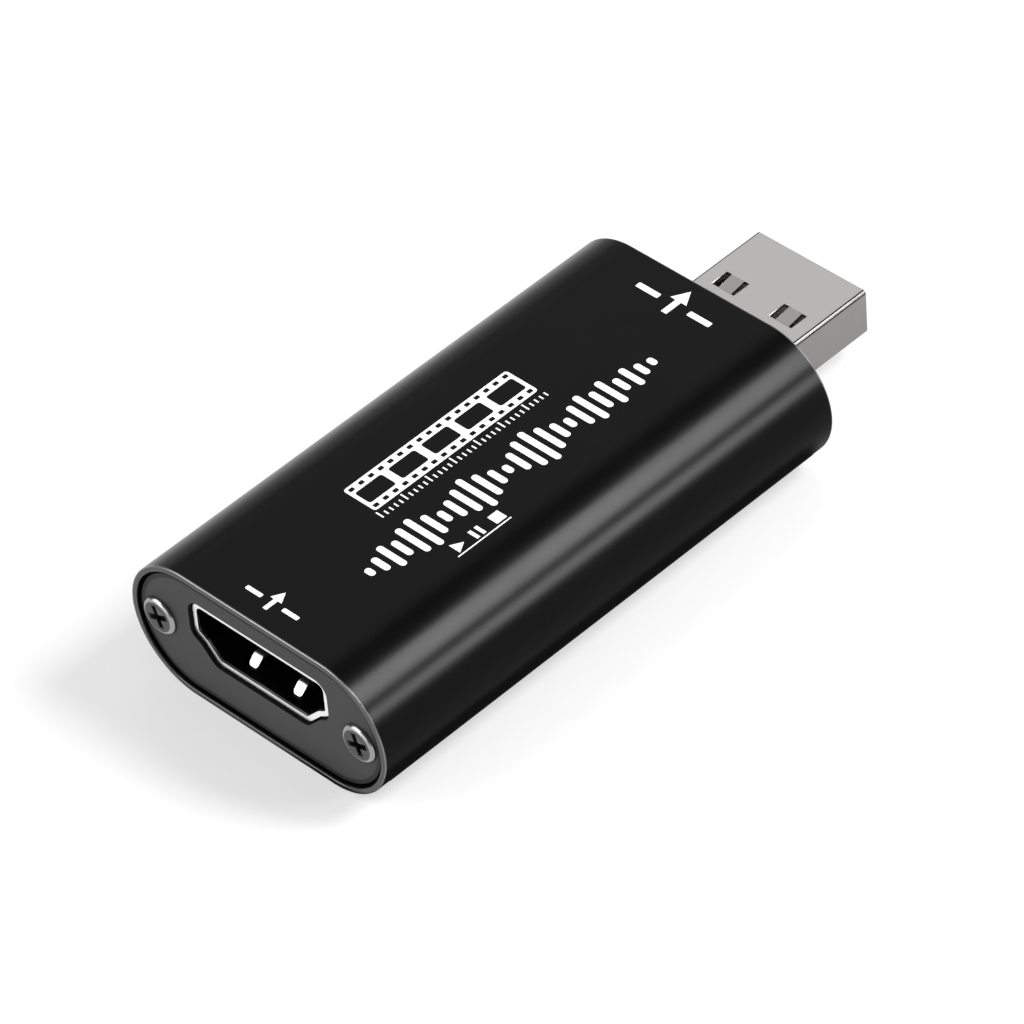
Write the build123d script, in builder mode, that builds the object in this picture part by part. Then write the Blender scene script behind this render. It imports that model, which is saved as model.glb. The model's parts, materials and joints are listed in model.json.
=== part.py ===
from build123d import *
import os

# A stick-shaped video capture box: an extruded metal case, closed by a screwed plate at each
# end. A video socket looks out of the front plate and a host plug stands out of the back plate.
# +Y runs from the socket to the plug's tip, +Z up through the top face, and +X to the right.
# The origin is at the bottom centre of the whole part, plug and screw heads included.

# Case, a flat oval tube
case_width = 28.0
case_height = 12.8
case_length = 51.0
case_wall = 1.1
rim_thickness = 0.5
rim_bevel = 0.12

# End plates, let into a pocket at each end of the case
plate_thickness = 0.9
plate_recess = 0.3
plate_gap = 0.3
plate_bevel = 0.08

# Screws through the plates into the bosses of the case
screw_place_share = 0.83
screw_land = 0.2
screw_shank_diameter = 1.9
screw_length = 5.0
screw_tip_bevel = 0.3
screw_head_diameter = 3.5
screw_head_height = 0.4
screw_head_edge = 0.15
screw_head_flat = 2.7
screw_hole_gap = 0.15
screw_thread_gap = 0.05
boss_wall = 0.75
cross_span = 2.2
cross_slot = 0.55
cross_depth = 0.6
cross_floor_share = 0.5

# Circuit board and the rails that hold its edges
board_inset = 2.4
board_thickness = 1.2
board_end_gap = 0.3
board_side_gap = 0.2
board_slot_gap = 0.15
rail_grip = 0.9
rail_thickness = 0.8

# Video socket, a formed metal shell round a tongue with contacts on both faces
socket_rise = 0.9
socket_opening_width = 14.0
socket_opening_height = 4.55
socket_top_radius = 0.6
socket_low_radius = 0.35
socket_step_radius = 1.2
socket_shoulder_drop = 2.6
socket_shoulder_inset = 0.85
socket_shoulder_slope = 0.5
socket_floor_inset = 2.2
socket_sheet = 0.35
socket_lip = 0.5
socket_lip_depth = 0.5
socket_depth = 11.6
socket_setback = 0.3
socket_plate_gap = 0.15
tongue_side_gap = 1.2
tongue_thickness = 1.2
tongue_rise = 0.1
tongue_setback = 1.7
tongue_nose = 0.3
housing_depth = 3.3
housing_gap = 0.05

# Spring fingers pressed inwards from the walls of the socket's shell
finger_spread = 4.9
finger_width = 1.0
finger_slit = 0.25
finger_setback = 0.9
finger_length = 4.2
finger_crest = 0.85
finger_crest_share = 0.26
side_finger_drop = 1.5

# Contacts of the socket
socket_contact_width = 0.3
socket_contact_thickness = 0.15
socket_contact_pitch = 1.0
socket_contact_setback = 0.6
socket_contact_foot = 0.9
socket_contact_gap = 0.1
upper_contact_count = 10
lower_contact_count = 9

# Legs that carry the socket's shell through the board
leg_width = 1.2
leg_first_setback = 3.0
leg_spacing = 6.0
leg_below_board = 0.7
leg_hole_gap = 0.15
leg_solder_height = 0.5
leg_solder_foot = 0.5
leg_solder_neck = 0.15

# Host plug, a folded metal shell round a contact carrier
plug_width = 12.0
plug_height = 4.5
plug_sheet = 0.3
plug_corner_radius = 0.5
plug_inner_radius = 0.2
plug_drop = 1.85
plug_reach = 13.0
plug_inside = 7.5
plug_plate_gap = 0.15
plug_notch_gap = 0.3
window_width = 2.44
window_length = 1.88
window_inset = 2.83
window_setback = 5.43
window_tab_width = 1.45
window_tab_gap = 0.2
window_tab_drop = 0.3
carrier_gap = 0.1
carrier_setback = 0.5
carrier_tongue = 1.84
carrier_mating_depth = 11.75

# Contacts of the plug
plug_contact_width = 1.0
plug_contact_thickness = 0.2
plug_contact_outer_inset = 2.5
plug_contact_inner_inset = 5.0
plug_contact_outer_setback = 1.2
plug_contact_inner_setback = 2.2
plug_contact_gap = 0.1
plug_contact_tail = 1.6

# Wings that carry the plug's shell on the board
wing_reach = 1.3
wing_length = 2.0
wing_first_setback = 1.0
wing_spacing = 2.8
wing_solder_width = 0.5

# Parts on the board: each size is across, along and high
capture_chip_width = 9.0
capture_chip_height = 0.85
capture_chip_bevel = 0.15
chip_dot_diameter = 0.8
chip_dot_depth = 0.1
memory_width = 4.9
memory_length = 3.9
memory_height = 1.4
memory_pitch = 1.27
memory_leads_per_side = 4
regulator_width = 2.9
regulator_length = 1.3
regulator_height = 1.0
regulator_pitch = 0.95
regulator_leads_per_side = 3
lead_width = 0.4
lead_thickness = 0.15
lead_reach = 0.9
lead_foot = 0.45
lead_standoff = 0.1
crystal_width = 2.5
crystal_length = 3.2
crystal_height = 0.8
crystal_radius = 0.35
inductor_width = 3.0
inductor_height = 1.5
inductor_radius = 0.5
bulk_capacitor_width = 2.8
bulk_capacitor_length = 3.5
bulk_capacitor_height = 1.9
bulk_capacitor_bevel = 0.2
surge_width = 2.5
surge_length = 1.0
surge_height = 0.5
bead_width = 1.25
bead_length = 2.0
bead_height = 0.9
small_part_width = 0.5
small_part_length = 1.0
small_capacitor_height = 0.5
small_resistor_height = 0.35
small_part_radius = 0.06

small_part_pitch = 1.5
small_parts_per_row = 6
bulk_capacitor_gap = 0.4

# Places of the rows of parts between the socket and the main chip, as shares of that stretch
surge_row_share = 0.12
resistor_row_shares = [0.36, 0.52]
capacitor_row_shares = [0.7, 0.86]
bead_row_share = 0.66

# Sizes and places that follow from the ones above
case_middle_height = case_height / 2
plate_pocket = plate_thickness + plate_recess
front_reach = screw_head_height - plate_recess
part_length = front_reach + case_length + plug_reach
case_front = front_reach - part_length / 2
case_back = case_front + case_length
front_plate_face = case_front + plate_recess
front_plate_back = case_front + plate_pocket
back_plate_face = case_back - plate_recess
back_plate_back = case_back - plate_pocket

socket_side = socket_opening_width / 2 + socket_lip + socket_plate_gap
screw_nearest = socket_side + screw_land + screw_shank_diameter / 2 + screw_hole_gap
screw_farthest = case_width / 2 - rim_thickness - plate_gap - screw_head_diameter / 2
screw_across = screw_nearest + screw_place_share * (screw_farthest - screw_nearest)
screw_sides = [-screw_across, screw_across]
boss_radius = screw_shank_diameter / 2 + screw_thread_gap + boss_wall

socket_center_height = case_middle_height + socket_rise
socket_front = front_plate_face + socket_setback
socket_back = socket_front + socket_depth
socket_top = socket_center_height + socket_opening_height / 2
socket_floor = socket_top - socket_opening_height
board_top = socket_floor - socket_sheet
board_bottom = board_top - board_thickness
board_width = case_width - 2 * board_inset
board_front = front_plate_back + board_end_gap
board_back = back_plate_back - board_end_gap
board_length = board_back - board_front
board_middle = (board_front + board_back) / 2
rail_low = board_bottom - rail_thickness
rail_high = board_top + board_slot_gap + rail_thickness
rail_inner = board_width / 2 - rail_grip

tongue_width = socket_opening_width - 2 * tongue_side_gap
tongue_front = socket_front + tongue_setback
tongue_top = socket_center_height + tongue_rise + tongue_thickness / 2
tongue_bottom = tongue_top - tongue_thickness
housing_front = socket_back - housing_depth
leg_across = (socket_opening_width + socket_sheet) / 2
leg_places = [
    (side * leg_across, socket_front + leg_first_setback + step * leg_spacing)
    for side in (-1, 1)
    for step in (0, 1)
]

plug_center_height = case_middle_height - plug_drop
plug_tip = case_back + plug_reach
plug_back = case_back - plug_inside
plug_top = plug_center_height + plug_height / 2
plug_bottom = plug_top - plug_height
carrier_bottom = plug_bottom + plug_sheet
carrier_top = carrier_bottom + carrier_tongue
carrier_block_front = plug_tip - carrier_mating_depth
window_across = plug_width / 2 - window_inset
window_back = plug_tip - window_setback
window_front = window_back - window_length
wing_places = [
    (side * (plug_width + wing_reach) / 2, plug_back + wing_first_setback + step * wing_spacing)
    for side in (-1, 1)
    for step in (0, 1)
]

free_front = socket_back + socket_contact_gap + socket_contact_thickness + socket_contact_foot
free_back = plug_back - plug_contact_gap - plug_contact_thickness - plug_contact_tail
free_middle = (free_front + free_back) / 2
free_side = min(rail_inner, screw_across - boss_radius)
chip_half = capture_chip_width / 2
chip_front = free_middle - chip_half
chip_back = free_middle + chip_half
beside_chip = (chip_half + free_side) / 2
behind_chip = (chip_back + free_back) / 2


def across_case(y):
    """Upright plane across the case at y: its own X and Y are the part's X and Z."""
    return Plane.XZ.offset(-y)


def along_case(x):
    """Upright plane along the case at x: its own X and Y are the part's Y and Z."""
    return Plane.YZ.offset(x)


def ahead_of_chip(share):
    """Place along the board at a share of the stretch from the socket to the main chip."""
    return free_front + share * (chip_front - free_front)


def spread_across(widths):
    """Places across the board for parts of these widths, with the same gap beside each."""
    gap = (2 * free_side - sum(widths)) / (len(widths) + 1)
    places = []
    edge = -free_side
    for width in widths:
        places.append(edge + gap + width / 2)
        edge += gap + width
    return places


def small_part_row(row_shares):
    """Points for rows of small parts ahead of the main chip."""
    first = -small_part_pitch * (small_parts_per_row - 1) / 2
    return [
        (first + step * small_part_pitch, ahead_of_chip(share))
        for share in row_shares
        for step in range(small_parts_per_row)
    ]


def case_oval(wall):
    """Outline of the case, drawn in by a wall on all sides."""
    with Locations((0, case_middle_height)):
        SlotOverall(case_width - 2 * wall, case_height - 2 * wall)


def socket_outline(grow=0):
    """Opening of the video socket, upright sides with a stepped taper to the floor."""
    half = socket_opening_width / 2
    shoulder = socket_top - socket_shoulder_drop
    side = [
        (half, socket_top),
        (half, shoulder),
        (half - socket_shoulder_inset, shoulder - socket_shoulder_slope),
        (half - socket_floor_inset, socket_floor),
    ]
    radii = [socket_top_radius, socket_low_radius, socket_step_radius, socket_low_radius]
    points = side + [(-x, z) for x, z in reversed(side)]
    with BuildSketch(Plane.XY, mode=Mode.PRIVATE) as opening:
        with BuildLine():
            FilletPolyline(*points, radius=radii + radii[::-1], close=True)
        make_face()
        if grow:
            offset(amount=grow, kind=Kind.ARC)
    add(opening.sketch)


def socket_finger(wall):
    """Spring finger cut free and bent inwards: the wall plane is on the shell's inner face."""
    crest_place = finger_length * finger_crest_share
    with BuildSketch(wall) as slit:
        with Locations((finger_length / 2, 0)):
            Rectangle(finger_length, finger_width + 2 * finger_slit)
    extrude(slit.sketch, amount=-socket_sheet, mode=Mode.SUBTRACT)
    with BuildSketch(Plane(wall.origin, x_dir=wall.x_dir, z_dir=-wall.y_dir)) as profile:
        with BuildLine():
            Polyline(
                (finger_length, 0),
                (crest_place, finger_crest),
                (finger_slit, 0),
                (finger_slit, -socket_sheet),
                (crest_place, finger_crest - socket_sheet),
                (finger_length, -socket_sheet),
                close=True,
            )
        make_face()
    extrude(profile.sketch, amount=finger_width / 2, both=True)


def plug_outline(inset, radius):
    """Outline of the host plug's shell, drawn in by an inset."""
    with Locations((0, plug_center_height)):
        RectangleRounded(plug_width - 2 * inset, plug_height - 2 * inset, radius)


def cross_recess(scale):
    """Cross-shaped driver recess of a screw head."""
    Rectangle(cross_span * scale, cross_slot * scale)
    Rectangle(cross_slot * scale, cross_span * scale)


def plate_screw(seat):
    """Low-headed screw with a cross recess: the seat plane is under its head, facing outwards."""
    head = screw_head_diameter / 2
    shank = screw_shank_diameter / 2
    with BuildSketch(Plane(seat.origin, x_dir=seat.x_dir, z_dir=-seat.y_dir)) as profile:
        with BuildLine():
            Polyline(
                (screw_head_flat / 2, screw_head_height),
                (0, screw_head_height),
                (0, -screw_length),
                (shank - screw_tip_bevel, -screw_length),
                (shank, screw_tip_bevel - screw_length),
                (shank, 0),
                (head, 0),
                (head, screw_head_edge),
            )
            TangentArc(
                (screw_head_flat / 2, screw_head_height), (head, screw_head_edge), tangent=(1, 0)
            )
        make_face()
    revolve(profile.sketch, axis=Axis(seat.origin, seat.z_dir))
    with BuildSketch(seat.offset(screw_head_height)) as mouth:
        cross_recess(1)
    with BuildSketch(seat.offset(screw_head_height - cross_depth)) as floor:
        cross_recess(cross_floor_share)
    loft([mouth.sketch, floor.sketch], mode=Mode.SUBTRACT)


def leaded_chip(place, size, pitch, leads_per_side, turned=False):
    """Moulded chip on gull-wing leads that stand on the board, along two of its sides."""
    width, length, height = size
    body_bottom = board_top + lead_standoff
    lead_height = body_bottom + (height - lead_thickness) / 2
    edge = length / 2
    bend = edge + lead_reach - lead_foot
    tip = edge + lead_reach
    quarter_turns = 1 if turned else 0
    with BuildPart(mode=Mode.PRIVATE) as chip:
        with BuildSketch(Plane.XY.offset(body_bottom)):
            Rectangle(width, length)
        extrude(amount=height)
        for step in range(leads_per_side):
            with BuildSketch(along_case((step - (leads_per_side - 1) / 2) * pitch)):
                with BuildLine():
                    Polyline(
                        (edge, lead_height),
                        (edge, lead_height + lead_thickness),
                        (bend, lead_height + lead_thickness),
                        (bend, board_top + lead_thickness),
                        (tip, board_top + lead_thickness),
                        (tip, board_top),
                        (bend - lead_thickness, board_top),
                        (bend - lead_thickness, lead_height),
                        close=True,
                    )
                make_face()
                mirror(about=Plane.YZ)
            extrude(amount=lead_width / 2, both=True)
    with Locations(Location((*place, 0), (0, 0, quarter_turns * 90))):
        add(chip.part)


def seated_blocks(places, width, length, height, radius=0):
    """Block-shaped board parts, all alike, standing on the board."""
    with BuildSketch(Plane.XY.offset(board_top)) as blocks:
        with Locations(*places):
            if radius:
                RectangleRounded(width, length, radius)
            else:
                Rectangle(width, length)
    extrude(blocks.sketch, amount=height)


os.makedirs("parts", exist_ok=True)

# Case: one extrusion with screw bosses and slotted rails, and a plate pocket at each end
with BuildPart() as case_tube:
    with BuildSketch(across_case(case_front)):
        case_oval(0)
    extrude(amount=-case_length)
    chamfer(case_tube.faces().filter_by(Axis.Y).edges(), length=rim_bevel)
    with BuildSketch(across_case(case_front)):
        case_oval(case_wall)
        for side in (-1, 1):
            with Locations((side * screw_across, case_middle_height)):
                Circle(boss_radius, mode=Mode.SUBTRACT)
            with Locations((side * (screw_across + case_width / 2) / 2, case_middle_height)):
                Rectangle(case_width / 2 - screw_across, 2 * boss_radius, mode=Mode.SUBTRACT)
            with Locations((side * (rail_inner + case_width / 2) / 2, (rail_low + rail_high) / 2)):
                Rectangle(case_width / 2 - rail_inner, rail_high - rail_low, mode=Mode.SUBTRACT)
        with Locations((0, (board_bottom + board_top + board_slot_gap) / 2)):
            Rectangle(board_width + 2 * board_side_gap, board_thickness + board_slot_gap)
        with Locations(*[(x, case_middle_height) for x in screw_sides]):
            Circle(screw_shank_diameter / 2 + screw_thread_gap)
    extrude(amount=-case_length, mode=Mode.SUBTRACT)
    with BuildSketch(across_case(case_front), across_case(back_plate_back)):
        case_oval(rim_thickness)
    extrude(amount=-plate_pocket, mode=Mode.SUBTRACT)
case_tube.part.label = "case_tube"
export_step(case_tube.part, "parts/case_tube.step")

# Front plate with the opening for the video socket
with BuildPart() as input_end_plate:
    with BuildSketch(across_case(front_plate_face)):
        case_oval(rim_thickness + plate_gap)
    extrude(amount=-plate_thickness)
    chamfer(input_end_plate.faces().sort_by(Axis.Y)[0].edges(), length=plate_bevel)
    with BuildSketch(across_case(front_plate_face)):
        with Locations(*[(x, case_middle_height) for x in screw_sides]):
            Circle(screw_shank_diameter / 2 + screw_hole_gap)
        socket_outline(socket_lip + socket_plate_gap)
    extrude(amount=-plate_thickness, mode=Mode.SUBTRACT)
input_end_plate.part.label = "input_end_plate"
export_step(input_end_plate.part, "parts/input_end_plate.step")

# Back plate with the opening for the host plug
with BuildPart() as output_end_plate:
    with BuildSketch(across_case(back_plate_back)):
        case_oval(rim_thickness + plate_gap)
    extrude(amount=-plate_thickness)
    chamfer(output_end_plate.faces().sort_by(Axis.Y)[-1].edges(), length=plate_bevel)
    with BuildSketch(across_case(back_plate_back)):
        with Locations(*[(x, case_middle_height) for x in screw_sides]):
            Circle(screw_shank_diameter / 2 + screw_hole_gap)
        plug_outline(-plug_plate_gap, plug_corner_radius + plug_plate_gap)
    extrude(amount=-plate_thickness, mode=Mode.SUBTRACT)
output_end_plate.part.label = "output_end_plate"
export_step(output_end_plate.part, "parts/output_end_plate.step")

# Two screws through each end plate
with BuildPart() as input_plate_screws:
    for x in screw_sides:
        seat_point = (x, front_plate_face, case_middle_height)
        plate_screw(Plane(seat_point, x_dir=(1, 0, 0), z_dir=(0, -1, 0)))
input_plate_screws.part.label = "input_plate_screws"
export_step(input_plate_screws.part, "parts/input_plate_screws.step")

with BuildPart() as output_plate_screws:
    for x in screw_sides:
        seat_point = (x, back_plate_face, case_middle_height)
        plate_screw(Plane(seat_point, x_dir=(-1, 0, 0), z_dir=(0, 1, 0)))
output_plate_screws.part.label = "output_plate_screws"
export_step(output_plate_screws.part, "parts/output_plate_screws.step")

# Circuit board, notched at the back for the plug and slotted for the legs of the socket
notch_length = board_back - plug_back + plug_notch_gap
with BuildPart() as circuit_board:
    with BuildSketch(Plane.XY.offset(board_bottom)):
        with Locations((0, board_middle)):
            Rectangle(board_width, board_length)
        with Locations((0, board_back - notch_length / 2)):
            Rectangle(plug_width + 2 * plug_notch_gap, notch_length, mode=Mode.SUBTRACT)
        with Locations(*leg_places):
            Rectangle(
                socket_sheet + 2 * leg_hole_gap, leg_width + 2 * leg_hole_gap, mode=Mode.SUBTRACT
            )
    extrude(amount=board_thickness)
circuit_board.part.label = "circuit_board"
export_step(circuit_board.part, "parts/circuit_board.step")

# Shell of the video socket: lipped mouth, six spring fingers in its walls, four legs
finger_front = socket_front + finger_setback
side_finger_height = socket_top - side_finger_drop
with BuildPart() as socket_shell:
    with BuildSketch(across_case(socket_front)):
        socket_outline(socket_sheet)
    extrude(amount=-socket_depth)
    with BuildSketch(across_case(socket_front)):
        socket_outline(socket_lip)
    extrude(amount=-socket_lip_depth)
    with BuildSketch(across_case(socket_front)):
        socket_outline()
    extrude(amount=-socket_depth, mode=Mode.SUBTRACT)
    for side in (-1, 1):
        finger_x = side * finger_spread / 2
        wall_x = side * socket_opening_width / 2
        for point, inwards in (
            ((finger_x, finger_front, socket_floor), (0, 0, 1)),
            ((finger_x, finger_front, socket_top), (0, 0, -1)),
            ((wall_x, finger_front, side_finger_height), (-side, 0, 0)),
        ):
            socket_finger(Plane(point, x_dir=(0, 1, 0), z_dir=inwards))
    with BuildSketch(Plane.XY.offset(board_bottom - leg_below_board)):
        with Locations(*leg_places):
            Rectangle(socket_sheet, leg_width)
    extrude(amount=socket_top - socket_shoulder_drop - board_bottom + leg_below_board)
socket_shell.part.label = "socket_shell"
export_step(socket_shell.part, "parts/socket_shell.step")

# Contacts of the video socket: each row lies on one face of the tongue and stands on the board
upper_contact_xs = [
    (step - (upper_contact_count - 1) / 2) * socket_contact_pitch
    for step in range(upper_contact_count)
]
lower_contact_xs = [
    (step - (lower_contact_count - 1) / 2) * socket_contact_pitch
    for step in range(lower_contact_count)
]


def socket_contact(x, strip_bottom):
    """One contact: a strip along the tongue, a leg behind the housing and a foot."""
    strip_front = tongue_front + socket_contact_setback
    strip_top = strip_bottom + socket_contact_thickness
    leg_front = socket_back + socket_contact_gap
    leg_back = leg_front + socket_contact_thickness
    foot_end = leg_back + socket_contact_foot
    with BuildSketch(along_case(x)) as profile:
        with BuildLine():
            Polyline(
                (strip_front, strip_bottom),
                (strip_front, strip_top),
                (leg_back, strip_top),
                (leg_back, board_top + socket_contact_thickness),
                (foot_end, board_top + socket_contact_thickness),
                (foot_end, board_top),
                (leg_front, board_top),
                (leg_front, strip_bottom),
                close=True,
            )
        make_face()
    extrude(profile.sketch, amount=socket_contact_width / 2, both=True)


with BuildPart() as socket_upper_contacts:
    for x in upper_contact_xs:
        socket_contact(x, tongue_top)
socket_upper_contacts.part.label = "socket_upper_contacts"
export_step(socket_upper_contacts.part, "parts/socket_upper_contacts.step")

with BuildPart() as socket_lower_contacts:
    for x in lower_contact_xs:
        socket_contact(x, tongue_bottom - socket_contact_thickness)
socket_lower_contacts.part.label = "socket_lower_contacts"
export_step(socket_lower_contacts.part, "parts/socket_lower_contacts.step")

# Housing of the video socket: a block in the back of the shell with the tongue in front of it
upper_slot_height = tongue_top + socket_contact_thickness / 2
lower_slot_height = tongue_bottom - socket_contact_thickness / 2
slot_places = [(x, upper_slot_height) for x in upper_contact_xs]
slot_places += [(x, lower_slot_height) for x in lower_contact_xs]
with BuildPart() as socket_housing:
    with BuildSketch(across_case(housing_front)):
        socket_outline(-housing_gap)
    extrude(amount=-housing_depth)
    with BuildSketch(across_case(tongue_front)):
        with Locations((0, (tongue_top + tongue_bottom) / 2)):
            Rectangle(tongue_width, tongue_thickness)
    extrude(amount=tongue_front - housing_front)
    nose_edges = socket_housing.faces().sort_by(Axis.Y)[0].edges().filter_by(Axis.X)
    chamfer(nose_edges, length=tongue_nose)
    with BuildSketch(across_case(housing_front)):
        with Locations(*slot_places):
            Rectangle(socket_contact_width, socket_contact_thickness)
    extrude(amount=-housing_depth, mode=Mode.SUBTRACT)
socket_housing.part.label = "socket_housing"
export_step(socket_housing.part, "parts/socket_housing.step")

# Solder under the board, round the legs of the socket's shell
with BuildPart() as socket_leg_solder:
    for leg_place in leg_places:
        with BuildSketch(Plane.XY.offset(board_bottom)):
            with Locations(leg_place):
                Rectangle(socket_sheet + 2 * leg_solder_foot, leg_width + 2 * leg_solder_foot)
        with BuildSketch(Plane.XY.offset(board_bottom - leg_solder_height)):
            with Locations(leg_place):
                Rectangle(socket_sheet + 2 * leg_solder_neck, leg_width + 2 * leg_solder_neck)
        loft()
    with BuildSketch(Plane.XY.offset(board_bottom)):
        with Locations(*leg_places):
            Rectangle(socket_sheet, leg_width)
    extrude(amount=-leg_solder_height, mode=Mode.SUBTRACT)
socket_leg_solder.part.label = "socket_leg_solder"
export_step(socket_leg_solder.part, "parts/socket_leg_solder.step")

# Shell of the host plug: windows in both broad sides, spring tabs in the upper ones, four wings
window_places = [(side * window_across, (window_front + window_back) / 2) for side in (-1, 1)]
plug_length = plug_tip - plug_back
with BuildPart() as plug_shell:
    with BuildSketch(across_case(plug_back)):
        plug_outline(0, plug_corner_radius)
    extrude(amount=-plug_length)
    with BuildSketch(across_case(plug_back)):
        plug_outline(plug_sheet, plug_inner_radius)
    extrude(amount=-plug_length, mode=Mode.SUBTRACT)
    with BuildSketch(Plane.XY.offset(plug_bottom)):
        with Locations(*window_places):
            Rectangle(window_width, window_length)
    extrude(amount=plug_height, mode=Mode.SUBTRACT)
    for window_x, window_y in window_places:
        with BuildSketch(along_case(window_x)):
            with BuildLine():
                Polyline(
                    (window_back, plug_top),
                    (window_front + window_tab_gap, plug_top - window_tab_drop),
                    (window_front + window_tab_gap, plug_top - window_tab_drop - plug_sheet),
                    (window_back, plug_top - plug_sheet),
                    close=True,
                )
            make_face()
        extrude(amount=window_tab_width / 2, both=True)
    with BuildSketch(Plane.XY.offset(board_top)):
        with Locations(*wing_places):
            Rectangle(wing_reach, wing_length)
    extrude(amount=plug_sheet)
plug_shell.part.label = "plug_shell"
export_step(plug_shell.part, "parts/plug_shell.step")

# Contacts of the host plug, two long outer ones and two shorter inner ones
plug_contact_table = [
    (side * (plug_width / 2 - inset), setback)
    for side in (-1, 1)
    for inset, setback in (
        (plug_contact_outer_inset, plug_contact_outer_setback),
        (plug_contact_inner_inset, plug_contact_inner_setback),
    )
]
with BuildPart() as plug_contacts:
    riser_back = plug_back - plug_contact_gap
    riser_front = riser_back - plug_contact_thickness
    tail_end = riser_front - plug_contact_tail
    strip_top = carrier_top + plug_contact_thickness
    for x, setback in plug_contact_table:
        strip_end = plug_tip - carrier_setback - setback
        with BuildSketch(along_case(x)):
            with BuildLine():
                Polyline(
                    (strip_end, carrier_top),
                    (strip_end, strip_top),
                    (riser_back, strip_top),
                    (riser_back, board_top + plug_contact_thickness),
                    (tail_end, board_top + plug_contact_thickness),
                    (tail_end, board_top),
                    (riser_front, board_top),
                    (riser_front, carrier_top),
                    close=True,
                )
            make_face()
        extrude(amount=plug_contact_width / 2, both=True)
plug_contacts.part.label = "plug_contacts"
export_step(plug_contacts.part, "parts/plug_contacts.step")

# Contact carrier of the host plug: a tongue in the lower half and a block that fills the back
carrier_width = plug_width - 2 * plug_sheet - 2 * carrier_gap
with BuildPart() as plug_carrier:
    with BuildSketch(across_case(plug_back)):
        plug_outline(plug_sheet + carrier_gap, plug_inner_radius)
    extrude(amount=plug_back - carrier_block_front)
    with BuildSketch(across_case(carrier_block_front)):
        with Locations((0, (carrier_bottom + carrier_gap + carrier_top) / 2)):
            Rectangle(carrier_width, carrier_top - carrier_bottom - carrier_gap)
    extrude(amount=carrier_block_front - plug_tip + carrier_setback)
    with BuildSketch(across_case(plug_back)):
        with Locations(*[(x, carrier_top + plug_contact_thickness / 2) for x, _ in plug_contact_table]):
            Rectangle(plug_contact_width, plug_contact_thickness)
    extrude(amount=plug_back - carrier_block_front, mode=Mode.SUBTRACT)
plug_carrier.part.label = "plug_carrier"
export_step(plug_carrier.part, "parts/plug_carrier.step")

# Solder beads along the outer edges of the plug's wings
with BuildPart() as plug_wing_solder:
    for x, y in wing_places:
        side = 1 if x > 0 else -1
        edge = x + side * wing_reach / 2
        with BuildSketch(across_case(y)):
            with BuildLine():
                Polyline(
                    (edge, board_top),
                    (edge, board_top + plug_sheet),
                    (edge + side * wing_solder_width, board_top),
                    close=True,
                )
            make_face()
        extrude(amount=wing_length / 2, both=True)
plug_wing_solder.part.label = "plug_wing_solder"
export_step(plug_wing_solder.part, "parts/plug_wing_solder.step")

# Main chip, a flat square package with a dot at its first contact
with BuildPart() as capture_chip:
    seated_blocks([(0, free_middle)], capture_chip_width, capture_chip_width, capture_chip_height)
    chamfer(capture_chip.faces().sort_by(Axis.Z)[-1].edges(), length=capture_chip_bevel)
    dot_inset = chip_half - capture_chip_bevel - chip_dot_diameter
    with Locations((-dot_inset, free_middle - dot_inset, board_top + capture_chip_height)):
        Hole(chip_dot_diameter / 2, depth=chip_dot_depth)
capture_chip.part.label = "capture_chip"
export_step(capture_chip.part, "parts/capture_chip.step")

# Row behind the main chip: memory chip, two voltage regulators and the power inductor
memory_x, left_regulator_x, right_regulator_x, inductor_x = spread_across(
    [memory_length + 2 * lead_reach, regulator_width, regulator_width, inductor_width]
)
with BuildPart() as memory_chip:
    leaded_chip(
        (memory_x, behind_chip),
        (memory_width, memory_length, memory_height),
        memory_pitch,
        memory_leads_per_side,
        turned=True,
    )
memory_chip.part.label = "memory_chip"
export_step(memory_chip.part, "parts/memory_chip.step")

with BuildPart() as voltage_regulators:
    for regulator_x in (left_regulator_x, right_regulator_x):
        leaded_chip(
            (regulator_x, behind_chip),
            (regulator_width, regulator_length, regulator_height),
            regulator_pitch,
            regulator_leads_per_side,
        )
voltage_regulators.part.label = "voltage_regulators"
export_step(voltage_regulators.part, "parts/voltage_regulators.step")

with BuildPart() as power_inductor:
    seated_blocks(
        [(inductor_x, behind_chip)],
        inductor_width,
        inductor_width,
        inductor_height,
        inductor_radius,
    )
power_inductor.part.label = "power_inductor"
export_step(power_inductor.part, "parts/power_inductor.step")

# Clock crystal in a metal can, on the right of the main chip
with BuildPart() as clock_crystal:
    seated_blocks(
        [(beside_chip, free_middle)], crystal_width, crystal_length, crystal_height, crystal_radius
    )
clock_crystal.part.label = "clock_crystal"
export_step(clock_crystal.part, "parts/clock_crystal.step")

# Bulk capacitors with bevelled tops, on the left of the main chip
bulk_capacitor_step = (bulk_capacitor_length + bulk_capacitor_gap) / 2
with BuildPart() as bulk_capacitors:
    seated_blocks(
        [(-beside_chip, free_middle + side * bulk_capacitor_step) for side in (-1, 1)],
        bulk_capacitor_width,
        bulk_capacitor_length,
        bulk_capacitor_height,
    )
    chamfer(bulk_capacitors.faces().group_by(Axis.Z)[-1].edges(), length=bulk_capacitor_bevel)
bulk_capacitors.part.label = "bulk_capacitors"
export_step(bulk_capacitors.part, "parts/bulk_capacitors.step")

# Surge protectors behind the socket, one for each group of signal pairs
with BuildPart() as surge_protectors:
    seated_blocks(
        [(x, ahead_of_chip(surge_row_share)) for x in spread_across(3 * [surge_width])],
        surge_width,
        surge_length,
        surge_height,
    )
surge_protectors.part.label = "surge_protectors"
export_step(surge_protectors.part, "parts/surge_protectors.step")

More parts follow.
